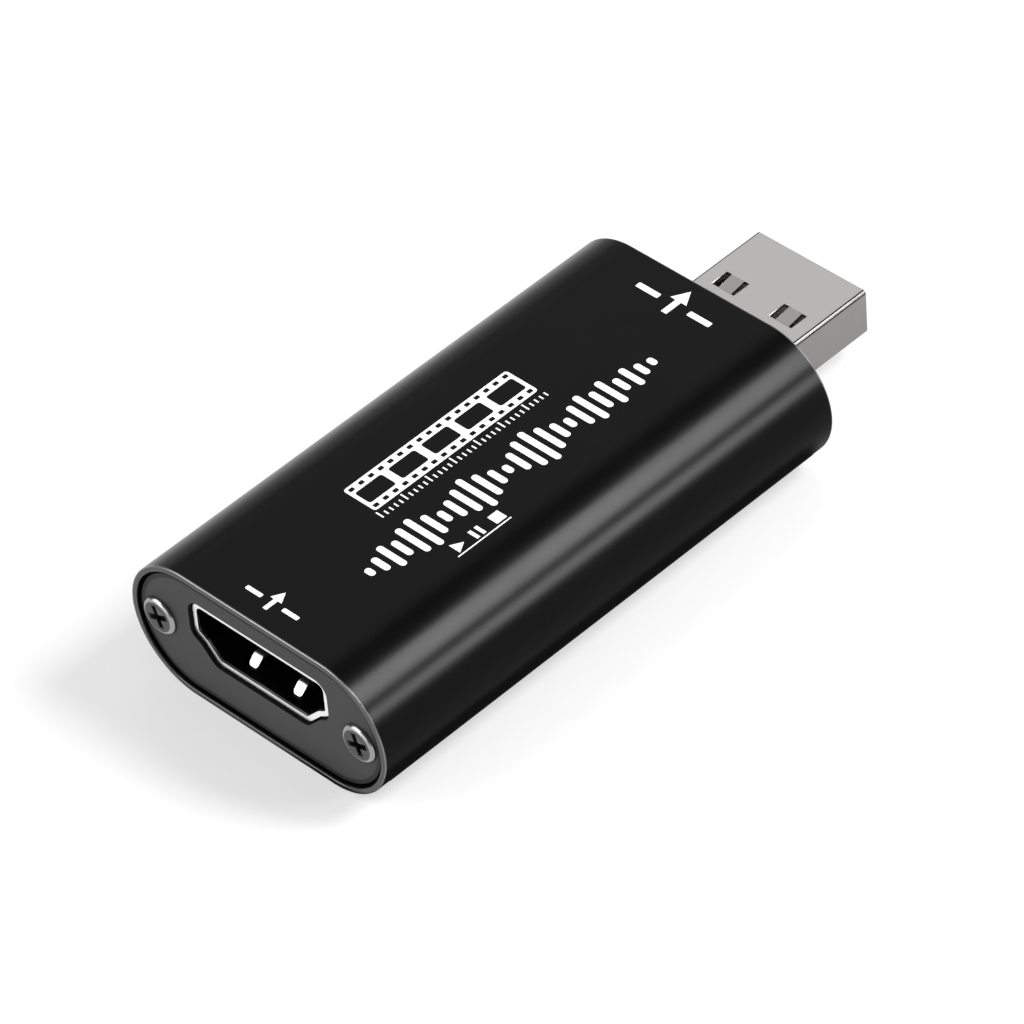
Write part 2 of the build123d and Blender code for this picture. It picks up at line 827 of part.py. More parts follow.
# Ferrite beads in the supply lines, one on each side of the small parts
with BuildPart() as ferrite_beads:
    seated_blocks(
        [(side * beside_chip, ahead_of_chip(bead_row_share)) for side in (-1, 1)],
        bead_width,
        bead_length,
        bead_height,
        small_part_radius,
    )
ferrite_beads.part.label = "ferrite_beads"
export_step(ferrite_beads.part, "parts/ferrite_beads.step")

# Small chip capacitors and resistors, in rows between the socket and the main chip
with BuildPart() as small_capacitors:
    seated_blocks(
        small_part_row(capacitor_row_shares),
        small_part_length,
        small_part_width,
        small_capacitor_height,
        small_part_radius,
    )
small_capacitors.part.label = "small_capacitors"
export_step(small_capacitors.part, "parts/small_capacitors.step")

with BuildPart() as small_resistors:
    seated_blocks(
        small_part_row(resistor_row_shares),
        small_part_length,
        small_part_width,
        small_resistor_height,
        small_part_radius,
    )
small_resistors.part.label = "small_resistors"
export_step(small_resistors.part, "parts/small_resistors.step")
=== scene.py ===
import json
import math
from contextlib import contextmanager

import bmesh
import bpy
from mathutils import Matrix, Vector


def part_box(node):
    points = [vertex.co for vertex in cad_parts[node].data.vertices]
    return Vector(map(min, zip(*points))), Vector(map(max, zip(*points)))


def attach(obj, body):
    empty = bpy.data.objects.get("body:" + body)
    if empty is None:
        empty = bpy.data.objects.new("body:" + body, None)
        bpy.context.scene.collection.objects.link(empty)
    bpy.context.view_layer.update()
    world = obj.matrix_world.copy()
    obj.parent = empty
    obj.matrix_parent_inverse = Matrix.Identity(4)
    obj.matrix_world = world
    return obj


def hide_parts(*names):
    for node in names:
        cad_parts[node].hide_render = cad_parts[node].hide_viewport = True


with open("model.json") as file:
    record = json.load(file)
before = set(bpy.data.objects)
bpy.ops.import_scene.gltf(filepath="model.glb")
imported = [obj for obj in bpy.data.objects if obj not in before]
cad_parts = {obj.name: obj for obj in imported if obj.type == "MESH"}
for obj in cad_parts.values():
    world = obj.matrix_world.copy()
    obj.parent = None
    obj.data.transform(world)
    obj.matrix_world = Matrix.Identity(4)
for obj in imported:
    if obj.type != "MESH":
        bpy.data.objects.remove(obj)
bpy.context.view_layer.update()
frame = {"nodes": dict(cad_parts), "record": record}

# Units and modelling values
MM = 0.001
QUARTER_TURN = math.pi / 2
X, Y, Z = range(3)
NEAR = 0.005 * MM
OVERRUN = MM
FACING = 0.99
EDGE_ANGLE = 40
SMOOTH_ANGLE = 30

# Case and plates
case_low, case_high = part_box("case_tube")
CASE_FRONT, CASE_BACK = case_low.y, case_high.y
CASE_MIDDLE = (CASE_FRONT + CASE_BACK) / 2
CASE_HALF_LENGTH = (CASE_BACK - CASE_FRONT) / 2
CASE_TOP = case_high.z
CASE_HALF_WIDTH = case_high.x
CASE_RADIUS = CASE_TOP / 2
CASE_FLAT = CASE_HALF_WIDTH - CASE_RADIUS
ROUND_SIDES = 144
RIM_THICKNESS = 0.5 * MM
RIM_OUTER_BEVEL = 0.12 * MM
RIM_INNER_BEVEL = 0.05 * MM
CASE_WALL = 1.1 * MM
PLATE_GAP = 0.3 * MM
PLATE_EDGE = 0.18 * MM
RAIL_EDGE = 0.1 * MM
front_plate_low, front_plate_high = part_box("input_end_plate")
back_plate_low, back_plate_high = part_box("output_end_plate")
PLATE_POCKET = front_plate_high.y - CASE_FRONT
INSIDE_FRONT = CASE_FRONT + PLATE_POCKET
INSIDE_BACK = CASE_BACK - PLATE_POCKET

# Screws
screw_low, screw_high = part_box("input_plate_screws")
SCREW_HEAD_RADIUS = (screw_high.z - screw_low.z) / 2
SCREW_ACROSS = screw_high.x - SCREW_HEAD_RADIUS
SCREW_HEAD_HEIGHT = front_plate_low.y - screw_low.y
SCREW_REACH = screw_high.y - front_plate_low.y
SCREW_SHANK_RADIUS = 0.95 * MM
SCREW_HEAD_EDGE = 0.15 * MM
SCREW_HEAD_FLAT = 1.35 * MM
SCREW_TIP_BEVEL = 0.3 * MM
SCREW_HOLE_GAP = 0.15 * MM
SCREW_SIDES = 64
ROUNDING_RINGS = 8
CROSS_SPAN = 2.2 * MM
CROSS_SLOT = 0.55 * MM
CROSS_DEPTH = 0.6 * MM
CROSS_FLOOR_SHARE = 0.5
CROSS_EDGE = 0.05 * MM
CROSS_EDGE_ANGLE = 35
INPUT_SCREW_ANGLES = (-22, -19)
OUTPUT_SCREW_ANGLES = (51, 17)
BOSS_RADIUS = 1.75 * MM
BOSS_BORE = 1.0 * MM

# Circuit board and its rails
board_low, board_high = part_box("circuit_board")
RAIL_GRIP = 0.9 * MM
RAIL_THICKNESS = 0.8 * MM
RAIL_SLOT_GAP = 0.15 * MM

# Video socket
shell_low, shell_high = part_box("socket_shell")
housing_low, housing_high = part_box("socket_housing")
SOCKET_SHEET = 0.35 * MM
SOCKET_LIP = 0.5 * MM
SOCKET_LIP_DEPTH = 0.5 * MM
SOCKET_PLATE_GAP = 0.15 * MM
SOCKET_EDGE = 0.06 * MM
SOCKET_HALF_WIDTH = shell_high.x - SOCKET_LIP
SOCKET_TOP = shell_high.z - SOCKET_LIP
SOCKET_HEIGHT = 4.55 * MM
SOCKET_FLOOR = SOCKET_TOP - SOCKET_HEIGHT
SOCKET_SHOULDER = SOCKET_TOP - 2.6 * MM
SOCKET_STEP = SOCKET_SHOULDER - 0.5 * MM
SOCKET_STEP_INSET = 0.85 * MM
SOCKET_FLOOR_INSET = 2.2 * MM
SOCKET_RADII = (0.6 * MM, 0.35 * MM, 1.2 * MM, 0.35 * MM)
CORNER_SEGMENTS = 6
TONGUE_HALF_WIDTH = 5.8 * MM
TONGUE_TOP = SOCKET_TOP - 1.575 * MM
TONGUE_BOTTOM = TONGUE_TOP - 1.2 * MM
TONGUE_NOSE = 0.3 * MM
HOUSING_DEPTH = 3.3 * MM
HOUSING_GAP = 0.05 * MM
FINGER_ACROSS = 2.45 * MM
FINGER_WIDTH = 1.0 * MM
FINGER_SLIT = 0.25 * MM
FINGER_SETBACK = 0.9 * MM
FINGER_LENGTH = 4.2 * MM
FINGER_CREST = 0.85 * MM
FINGER_CREST_SHARE = 0.26
FINGER_BEND_SHARE = 0.2
FINGER_SLICES = 30
FINGER_ROUNDING = 0.3 * MM
SIDE_FINGER_HEIGHT = SOCKET_TOP - 1.5 * MM
LEG_WIDTH = 1.2 * MM
LEG_SETBACKS = (3.0 * MM, 9.0 * MM)

# Host plug
plug_low, plug_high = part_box("plug_shell")
carrier_low, carrier_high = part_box("plug_carrier")
PLUG_HALF_WIDTH = 6.0 * MM
PLUG_SHEET = 0.3 * MM
PLUG_RADIUS = 0.36 * MM
PLUG_FOLD_SEGMENTS = 8
PLUG_EDGE = 0.05 * MM
PLUG_PLATE_GAP = 0.15 * MM
SEAM_WIDTH = 0.08 * MM
WINDOW_ACROSS = 3.17 * MM
WINDOW_WIDTH = 2.44 * MM
WINDOW_BACK = plug_high.y - 5.43 * MM
WINDOW_LENGTH = 1.88 * MM
WINDOW_FRONT = WINDOW_BACK - WINDOW_LENGTH
TAB_WIDTH = 1.45 * MM
TAB_GAP = 0.2 * MM
TAB_DROP = 0.3 * MM
CARRIER_TONGUE_TOP = 4.44 * MM
CARRIER_BLOCK_FRONT = plug_high.y - 11.75 * MM
CARRIER_EDGE = 0.15 * MM
WING_LENGTH = 2.0 * MM
WING_SETBACKS = (1.0 * MM, 3.8 * MM)

# Printed marks, whose own sizes and places are in plain millimetres
INK_THICKNESS = 0.015 * MM
INK_CORNER_SEGMENTS = 4
HOLE_THICKNESS = 4 * INK_THICKNESS

# Where finishes change, as depths from a face and distances from an edge; many bound painted shade,
# painted shadow, painted reflection and painted highlights
RIM_COATED_DEPTH = 0.16 * MM
RIM_BARE_DEPTH = 0.1 * MM
RIM_FLAT_DEPTH = 0.03 * MM
PLATE_FACE_DEPTH = 0.01 * MM
PLATE_SHADE_DEPTH = 0.05 * MM
PLATE_SHADOW_START = 0.41 * MM
PLATE_SHADOW_END = 0.36 * MM
LIP_SHADE_START_DEPTH = 0.18 * MM
LIP_SHADE_FULL_DEPTH = 0.26 * MM
RECESS_START_DEPTH = 0.02 * MM
RECESS_SHADE_DEPTH = 0.08 * MM
SCREW_EDGE_FADE = 0.1 * MM
FOLD_REFLECTION_SHARE = 0.7
GOLD_LENGTH = 3.4 * MM
GOLD_FADE = 0.4 * MM

# Grain of the finishes, and the copper tracks under the board's lacquer
ALONG_Y = (1, 0.08, 1)
FINE_GRAIN = 0.1 * MM
METAL_RELIEF = 0.001 * MM
TRACK_WAVES = {"Scale": 260.0, "Distortion": 6.0, "Detail": 2.0}
TRACK_EDGES = (0.55, 0.6)

# Floor and world: levels, the camera's share of white, and where shades change
FLOOR_DROP = 0.02 * MM
FLOOR_LEVELS = (0.93, 0.34, 0.03)
FLOOR_WHITE_SHARE = 0.45
UNDER_REACH = MM
UNDER_END = 3 * MM
UNDER_FADE = 2 * MM
BEFORE_START = 0.3 * MM
BEFORE_FULL = MM
WORLD_LEVEL = 0.4
WORLD_MIRRORED_LEVEL = 0.12
WORLD_SEEN_LEVEL = 1.0

# Lamps: their distance, and the shares of a direction across and along the case
LAMP_DISTANCE = 0.6
MIRROR_ACROSS_SHARE = 0.88
MIRROR_ALONG_SHARE = 0.47

# Camera, with its azimuth, elevation and roll
CAMERA_ANGLES = (47.3432, 42.4461, -5.0702)
CAMERA_TARGET = Vector((-5.3789 * MM, CASE_FRONT + 33.2 * MM, -2.6422 * MM))
CAMERA_DISTANCE = 530.6 * MM
CAMERA_LENS = 229.94


class Number:
    """A shader socket that Python's operators work on: each one adds a Math node."""

    def __init__(self, nodes, socket):
        self.nodes = nodes
        self.socket = socket

    def maths(self, operation, first, second=0.0):
        return self.nodes.node("Math", {"operation": operation}, {0: first, 1: second})

    def __add__(self, other):
        return self.maths("ADD", self, other)

    def __radd__(self, other):
        return self.maths("ADD", other, self)

    def __sub__(self, other):
        return self.maths("SUBTRACT", self, other)

    def __mul__(self, other):
        return self.maths("MULTIPLY", self, other)

    def __rmul__(self, other):
        return self.maths("MULTIPLY", other, self)

    def __abs__(self):
        return self.maths("ABSOLUTE", self)

    def __pow__(self, other):
        return self.maths("POWER", self, other)


class Nodes:
    """The nodes of a material or a world: each gets its settings before its sockets."""

    def __init__(self, owner):
        owner.use_nodes = True
        self.tree = owner.node_tree
        self.tree.nodes.clear()

    def node(self, kind, settings=None, inputs=None, output=0):
        made = self.tree.nodes.new("ShaderNode" + kind)
        for key, value in (settings or {}).items():
            setattr(made, key, value)
        for key, value in (inputs or {}).items():
            if isinstance(value, Number):
                self.tree.links.new(value.socket, made.inputs[key])
            else:
                made.inputs[key].default_value = value
        return Number(self, made.outputs[output]) if made.outputs else None


class Finish(Nodes):
    """A material being made."""

    def __init__(self, name):
        self.material = bpy.data.materials.new(name)
        super().__init__(self.material)

    def place(self, stretch=(1, 1, 1)):
        """Object coordinates, stretched along the axes."""
        point = self.node("TexCoord", output="Object")
        return self.node("Mapping", None, {"Vector": point, "Scale": stretch})

    def noise(self, size, detail=2.0, stretch=(1, 1, 1)):
        """Noise from 0 to 1 whose blotches are about as large as size."""
        inputs = {"Vector": self.place(stretch), "Scale": 1 / size, "Detail": detail}
        return self.node("TexNoise", None, inputs)

    def along(self, axis):
        """The object coordinate along an axis, in metres."""
        point = self.node("TexCoord", output="Object")
        return self.node("SeparateXYZ", None, {0: point}, output=axis)

    def between(self, value, low, high):
        """How far a value has gone from low to high, smoothly and held at 0 and 1."""
        settings = {"interpolation_type": "SMOOTHSTEP"}
        return self.node("MapRange", settings, {"Value": value, "From Min": low, "From Max": high})

    def mixed(self, factor, first, second):
        """A colour between two colours."""
        inputs = {0: factor, 6: colour(first), 7: colour(second)}
        return self.node("Mix", {"data_type": "RGBA"}, inputs, output=2)

    def blended(self, factor, first, second):
        """A shader between two shaders."""
        return self.node("MixShader", None, {0: factor, 1: first, 2: second})

    def relief(self, height, depth):
        return self.node("Bump", None, {"Height": height, "Distance": depth})

    def surface(self, **sockets):
        """Ends the material with a Principled shader: socket names are written with underscores."""
        named = {name.replace("_", " "): value for name, value in sockets.items()}
        shader = self.node("BsdfPrincipled", None, named)
        self.node("OutputMaterial", None, {"Surface": shader})
        return self.material


def colour(value):
    """A colour for a socket: grey numbers and red, green, blue triples get their full form."""
    if isinstance(value, Number):
        return value
    if isinstance(value, (int, float)):
        return (value, value, value, 1)
    return (*value, 1)


def hypotenuse(across, up):
    """How far a point is from the line on which both of these numbers are 0."""
    return (across * across + up * up) ** 0.5


# Finishes


def case_metal():
    """Black satin coat with a fine grain, cut to uncoated metal on the rims, with a painted
    highlight: lighter on the rims' bevels than on their flats.
    """
    finish = Finish("case_metal")
    y = finish.along(Y)
    from_middle = abs(y - CASE_MIDDLE)
    rim = finish.between(
        from_middle, CASE_HALF_LENGTH - RIM_COATED_DEPTH, CASE_HALF_LENGTH - RIM_BARE_DEPTH
    )
    flat = finish.between(from_middle, CASE_HALF_LENGTH - RIM_FLAT_DEPTH, CASE_HALF_LENGTH)
    patches = finish.noise(5 * MM, detail=3.0)
    grain = finish.noise(FINE_GRAIN)
    coat = finish.mixed(patches, 0.0015, 0.003)
    # painted highlight: the uncoated metal is lighter on the rims' bevels than on their flat end
    # faces
    bare_and_highlight = finish.mixed(flat, 0.27, 0.088)
    return finish.surface(
        Base_Color=finish.mixed(rim, coat, bare_and_highlight),
        Metallic=rim,
        Roughness=0.24 + patches * 0.05 + rim * 0.06,
        Specular_IOR_Level=0.13,
        Normal=finish.relief(grain, 0.0015 * MM),
    )


def plate_metal():
    """Flat dark grey coat, with painted shade near black on its sides below the face, and a painted
    shadow in a band round the face.
    """
    finish = Finish("plate_metal")
    from_middle = abs(finish.along(Y) - CASE_MIDDLE)
    face = CASE_MIDDLE - front_plate_low.y
    # painted shade: near black on the plate's sides, below its face
    below = finish.between(from_middle, face - PLATE_FACE_DEPTH, face - PLATE_SHADE_DEPTH)
    beyond_flat = abs(finish.along(X)) - CASE_FLAT
    beyond_flat = beyond_flat.maths("MAXIMUM", beyond_flat, 0.0)
    radius = hypotenuse(beyond_flat, finish.along(Z) - CASE_RADIUS)
    plate_radius = CASE_RADIUS - RIM_THICKNESS - PLATE_GAP
    # painted shadow: a near black band round the face, just inside the plate's edge
    edge = finish.between(radius, plate_radius - PLATE_SHADOW_START, plate_radius - PLATE_SHADOW_END)
    patches = finish.noise(3 * MM, detail=3.0)
    grain = finish.noise(FINE_GRAIN)
    coat = finish.mixed(patches, 0.025, 0.031)
    return finish.surface(
        Base_Color=finish.mixed(below, finish.mixed(edge, coat, 0.002), 0.002),
        Roughness=0.45 + patches * 0.06 + below * 0.3,
        Specular_IOR_Level=0.25,
        Normal=finish.relief(grain, 0.003 * MM),
    )


def socket_steel():
    """Plated sheet, bright on the front of the lip, with painted shade: near black behind it, all
    through the mouth.
    """
    finish = Finish("socket_steel")
    # painted shade: the sheet turns near black from just behind the lip's face inwards
    depth = finish.between(
        finish.along(Y), shell_low.y + LIP_SHADE_START_DEPTH, shell_low.y + LIP_SHADE_FULL_DEPTH
    )
    streaks = finish.noise(FINE_GRAIN, detail=3.0, stretch=ALONG_Y)
    bright = finish.mixed(streaks, 0.86, 0.93)
    return finish.surface(
        Base_Color=finish.mixed(depth, bright, 0.01),
        Metallic=1.0,
        Roughness=0.26 + 0.06 * streaks + 0.1 * depth,
        Normal=finish.relief(streaks, METAL_RELIEF),
    )


def screw_steel():
    """Blackened steel, lighter on the rounded edge from wear and a painted highlight, with painted
    shade darkest in the cross recess.
    """
    finish = Finish("screw_steel")
    streaks = finish.noise(0.15 * MM, detail=3.0)
    radius = hypotenuse(abs(finish.along(X)) - SCREW_ACROSS, finish.along(Z) - CASE_RADIUS)
    from_middle = abs(finish.along(Y) - CASE_MIDDLE)
    face = CASE_MIDDLE - screw_low.y
    sunk = finish.between(from_middle, face - RECESS_START_DEPTH, face - RECESS_SHADE_DEPTH)
    # painted shade: near black in the cross recess, inside the flat of the head
    recess = sunk * finish.between(radius, SCREW_HEAD_FLAT, SCREW_HEAD_FLAT - SCREW_EDGE_FADE)
    # lighter metal on the rounded edge: wear, and a painted highlight
    wear_and_highlight = finish.between(radius, SCREW_HEAD_FLAT, SCREW_HEAD_FLAT + SCREW_EDGE_FADE)
    steel = finish.mixed(wear_and_highlight, finish.mixed(streaks, 0.055, 0.085), 0.35)
    return finish.surface(
        Base_Color=finish.mixed(recess, steel, 0.015),
        Metallic=1.0,
        Roughness=0.2 + 0.06 * streaks + 0.3 * recess,
        Normal=finish.relief(streaks, METAL_RELIEF),
    )


def metal(name, dark, light, roughness, grain_size, stretch=(1, 1, 1)):
    """Bare metal with faint streaks from rolling or turning."""
    finish = Finish(name)
    streaks = finish.noise(grain_size, detail=3.0, stretch=stretch)
    tarnish = finish.noise(12 * grain_size)
    return finish.surface(
        Base_Color=finish.mixed(0.5 * streaks + 0.5 * tarnish, dark, light),
        Metallic=1.0,
        Roughness=roughness + 0.08 * streaks,
        Normal=finish.relief(streaks, METAL_RELIEF),
    )


def grained(name, dark, light, roughness, grain_size, depth):
    """Moulded, fired or pressed stuff with a fine even grain."""
    finish = Finish(name)
    grain = finish.noise(grain_size, detail=3.0)
    patches = finish.noise(10 * grain_size)
    return finish.surface(
        Base_Color=finish.mixed(0.4 * grain + 0.6 * patches, dark, light),
        Roughness=roughness + 0.1 * patches,
        Normal=finish.relief(grain, depth),
    )


def in_windows(finish):
    """1 inside the outlines of the plug's windows, where the tabs are, and 0 elsewhere."""
    across = abs(abs(finish.along(X)) - WINDOW_ACROSS)
    along = abs(finish.along(Y) - (WINDOW_FRONT + WINDOW_BACK) / 2)
    in_width = finish.between(across, WINDOW_WIDTH / 2, WINDOW_WIDTH / 2 - PLUG_EDGE)
    in_length = finish.between(along, WINDOW_LENGTH / 2, WINDOW_LENGTH / 2 - PLUG_EDGE)
    return in_width * in_length


def painted_reflection_on_fold(finish):
    """1 on the outer part of the folds beside the plug's upper face, where a painted dark reflection
    goes, and 0 elsewhere.
    """
    start, dark = PLUG_RADIUS, FOLD_REFLECTION_SHARE * PLUG_RADIUS
    across = abs(finish.along(X))
    outwards = finish.between(across, PLUG_HALF_WIDTH - start, PLUG_HALF_WIDTH - dark)
    upwards = finish.between(finish.along(Z), plug_high.z - start, plug_high.z - dark)
    return outwards * upwards


def plug_steel():
    """Fine matt nickel on rolled sheet, duller on the tabs in the windows, with a painted dark
    reflection on the upper folds.
    """
    finish = Finish("plug_steel")
    streaks = finish.noise(FINE_GRAIN, detail=3.0, stretch=ALONG_Y)
    tarnish = finish.noise(1.2 * MM)
    sheet = finish.mixed(0.5 * streaks + 0.5 * tarnish, (0.68, 0.665, 0.66), (0.73, 0.715, 0.71))
    sheet = finish.mixed(in_windows(finish), sheet, (0.5, 0.49, 0.485))
    return finish.surface(
        # painted reflection: the upper folds are painted near black
        Base_Color=finish.mixed(painted_reflection_on_fold(finish), sheet, 0.07),
        Metallic=1.0,
        Roughness=0.08 + 0.08 * streaks,
        Normal=finish.relief(streaks, 0.0003 * MM),
    )


def contact_gold():
    """Gold flash, and dull grey on the plug's strips between the case and their mating ends: partly
    the nickel of selective plating, partly painted shade for the plug's dark inside.
    """
    finish = Finish("contact_gold")
    y = finish.along(Y)
    gold_start = plug_high.y - GOLD_LENGTH
    # nickel, and painted shade: the strips seen through the plug's windows turn dull grey
    nickel = finish.between(y, CASE_BACK - MM, CASE_BACK)
    nickel = nickel * finish.between(y, gold_start, gold_start - GOLD_FADE)
    streaks = finish.noise(FINE_GRAIN, detail=3.0, stretch=ALONG_Y)
    gold = finish.mixed(streaks, (0.5, 0.33, 0.12), (0.6, 0.42, 0.17))
    return finish.surface(
        Base_Color=finish.mixed(nickel, gold, (0.3, 0.29, 0.28)),
        Metallic=1.0,
        Roughness=0.3 + 0.08 * streaks + 0.2 * nickel,
        Normal=finish.relief(streaks, METAL_RELIEF),
    )


def board_lacquer():
    """Green lacquer over paler copper tracks, with painted shade: near black where the socket covers
    the board.
    """
    finish = Finish("board_lacquer")
    # painted shade: the lacquer is near black under the socket
    painted_shade_under_socket = finish.between(finish.along(Y), shell_high.y, shell_high.y - MM)
    settings = {"wave_type": "BANDS", "bands_direction": "DIAGONAL"}
    inputs = {"Vector": finish.place(), **TRACK_WAVES}
    waves = finish.node("TexWave", settings, inputs, output="Fac")
    tracks = finish.between(waves, *TRACK_EDGES)
    lacquer = finish.mixed(tracks, (0.006, 0.06, 0.02), (0.012, 0.11, 0.04))
    return finish.surface(
        Base_Color=finish.mixed(painted_shade_under_socket, lacquer, 0.002),
        Roughness=0.3 + 0.05 * tracks,
        Normal=finish.relief(tracks, 0.01 * MM),
    )


def ink():
    """White screen print, with a faint unevenness."""
    finish = Finish("print_ink")
    patches = finish.noise(0.4 * MM, detail=3.0)
    return finish.surface(
        Base_Color=finish.mixed(patches, 0.9, 0.95),
        Roughness=0.5 + 0.05 * patches,
        Specular_IOR_Level=0.3,
    )


FINISHES = {
    "case_metal": case_metal(),
    "plate_metal": plate_metal(),
    "screw_steel": screw_steel(),
    "socket_steel": socket_steel(),
    "plug_steel": plug_steel(),
    "contact_gold": contact_gold(),
    "board_lacquer": board_lacquer(),
}
PRINT_INK = ink()

# Bare metals: darkest and lightest colour, roughness, size and stretch of the streaks
for name, *recipe in (
    ("solder", 0.5, 0.7, 0.28, 0.2 * MM),
    ("can_steel", (0.6, 0.59, 0.55), (0.75, 0.74, 0.7), 0.3, FINE_GRAIN, ALONG_Y),
    ("spring_finger_steel", 0.85, 0.93, 0.3, FINE_GRAIN, ALONG_Y),
):
    FINISHES[name] = metal(name, *recipe)

# Grained stuffs: darkest and lightest colour, roughness, size and depth of the grain
for name, *recipe in (
    ("black_plastic", 0.008, 0.014, 0.42, 0.08 * MM, 0.003 * MM),
    ("plug_resin", 0.3, 0.36, 0.42, 0.08 * MM, 0.003 * MM),
    ("chip_resin", 0.012, 0.022, 0.5, 0.05 * MM, 0.004 * MM),
    ("ferrite", 0.05, 0.09, 0.6, 0.06 * MM, 0.006 * MM),
    ("capacitor_resin", (0.6, 0.36, 0.04), (0.75, 0.5, 0.08), 0.35, FINE_GRAIN, 0.002 * MM),
    ("ceramic", (0.4, 0.29, 0.17), (0.5, 0.38, 0.24), 0.5, 0.05 * MM, 0.002 * MM),
    ("resistor_glaze", 0.01, 0.02, 0.25, 0.08 * MM, 0.001 * MM),
):
    FINISHES[name] = grained(name, *recipe)


# Modelling steps


def only(piece):
    """Makes a piece the active and the only selected one."""
    bpy.ops.object.select_all(action="DESELECT")
    piece.select_set(True)
    bpy.context.view_layer.objects.active = piece


@contextmanager
def editing(piece):
    """Edit mode on one piece, with all of it selected."""
    only(piece)
    bpy.ops.object.mode_set(mode="EDIT")
    bpy.ops.mesh.select_all(action="SELECT")
    yield
    bpy.ops.object.mode_set(mode="OBJECT")


def pick(piece, kind, test):
    """In edit mode, selects the vertices, edges or faces that pass a test, nothing else."""
    bpy.ops.mesh.select_mode(type=kind)
    bpy.ops.mesh.select_all(action="DESELECT")
    mesh = bmesh.from_edit_mesh(piece.data)
    for item in {"VERT": mesh.verts, "EDGE": mesh.edges, "FACE": mesh.faces}[kind]:
        item.select_set(test(item))
    mesh.select_flush_mode()
    bmesh.update_edit_mesh(piece.data)


def same(first, second):
    return abs(first - second) < NEAR


def lies_at(edge, axis, place):
    """Whether both ends of an edge are at a place along an axis."""
    return all(same(vertex.co[axis], place) for vertex in edge.verts)


def spans(edge, axis):
    """Whether the ends of an edge are apart along an axis."""
    return not same(edge.verts[0].co[axis], edge.verts[1].co[axis])


def at_y(place):
    """Test for a face that lies across the case at a place."""
    return lambda face: same(face.calc_center_median().y, place) and abs(face.normal.y) > FACING


def settled(piece):
    """Puts a piece's place, turn and size into its mesh."""
    only(piece)
    bpy.ops.object.transform_apply(location=True, rotation=True, scale=True)
    return piece


def modified(piece, kind, **settings):
    """Adds a modifier to a piece and applies it."""
    only(piece)
    modifier = piece.modifiers.new(kind.lower(), kind)
    for key, value in settings.items():
        setattr(modifier, key, value)
    bpy.ops.object.modifier_apply(modifier=modifier.name)
    return piece


def softened(piece, width, segments=2, angle=EDGE_ANGLE):
    """Rounds the sharp edges of a piece a little."""
    return modified(
        piece, "BEVEL", width=width, segments=segments, limit_method="ANGLE",
        angle_limit=math.radians(angle),
    )


def combined(piece, other, operation):
    modified(piece, "BOOLEAN", operation=operation, solver="MANIFOLD", object=other)
    bpy.data.objects.remove(other)
    return piece


def united(piece, other):
    """Fuses another piece into a piece."""
    return combined(piece, other, "UNION")


def cut(piece, cutter):
    """Takes a cutter's shape out of a piece."""
    return combined(piece, cutter, "DIFFERENCE")


def joined(piece, *others):
    """Makes one object of several."""
    only(piece)
    for other in others:
        other.select_set(True)
    bpy.ops.object.join()
    return piece


def copied(piece, place):
    """A copy with its own mesh, moved by a matrix."""
    twin = piece.copy()
    twin.data = piece.data.copy()
    bpy.context.scene.collection.objects.link(twin)
    twin.data.transform(place)
    return twin


def mirrored(piece):
    """A copy with its own mesh on the other side of the case's middle."""
    twin = copied(piece, Matrix.Diagonal((-1, 1, 1, 1)))
    with editing(twin):
        bpy.ops.mesh.normals_make_consistent(inside=False)
    return twin


def dressed(piece, name, finish):
    """Ends a piece: its name, smooth shading, finish and body."""
    settled(piece)
    bpy.ops.object.shade_smooth_by_angle(angle=math.radians(SMOOTH_ANGLE))
    modified(piece, "WEIGHTED_NORMAL", keep_sharp=True)
    piece.name = piece.data.name = name
    piece.data.materials.clear()
    piece.data.materials.append(finish)
    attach(piece, "root")


def stand_in(piece, name, slot, node, finish=None):
    """Ends a piece shown in place of a CAD node, with the finish of its slot or its own."""
    dressed(piece, name, FINISHES[finish or slot])
    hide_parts(node)


def block(low, high):
    """A box between two corners, to be shaped further."""
    low, high = Vector(low), Vector(high)
    bpy.ops.mesh.primitive_cube_add(size=1, location=(low + high) / 2, scale=high - low)
    return settled(bpy.context.active_object)


def rod(radius, front, back, x, z, sides=SCREW_SIDES):
    """A round bar along the case."""
    bpy.ops.mesh.primitive_cylinder_add(
        vertices=sides, radius=radius, depth=back - front, location=(x, (front + back) / 2, z),
        rotation=(QUARTER_TURN, 0, 0),
    )
    return settled(bpy.context.active_object)


def oval_bar(wall, front, back):
    """A bar with the case's outline drawn in by a wall: half a round bar, widened and mirrored."""
    bar = rod(CASE_RADIUS - wall, front, back, 0, CASE_RADIUS, ROUND_SIDES)
    with editing(bar):
        bpy.ops.mesh.bisect(plane_co=(0, 0, 0), plane_no=(1, 0, 0), clear_inner=True)
        bpy.ops.mesh.select_all(action="SELECT")
        bpy.ops.transform.translate(value=(CASE_FLAT, 0, 0))
        pick(bar, "EDGE", lambda edge: lies_at(edge, X, CASE_FLAT))
        bpy.ops.mesh.extrude_edges_move(TRANSFORM_OT_translate={"value": (-CASE_FLAT, 0, 0)})
    modified(bar, "MIRROR", use_axis=(True, False, False), merge_threshold=NEAR)
    with editing(bar):
        bpy.ops.mesh.normals_make_consistent(inside=False)
        for end in (front, back):
            pick(bar, "FACE", at_y(end))
            bpy.ops.mesh.dissolve_faces()
    return bar


def oval_distance(point):
    """How far a point is from the straight middle line of the case's oval section."""
    return math.hypot(max(abs(point.x) - CASE_FLAT, 0), point.z - CASE_RADIUS)


# Case and end plates


def rim_edges(distance):
    """Test for the edges at both ends of the case, at a distance from its middle line."""
    def test(edge):
        return all(
            same(abs(vertex.co.y - CASE_MIDDLE), CASE_HALF_LENGTH)
            and same(oval_distance(vertex.co), distance)
            for vertex in edge.verts
        )
    return test


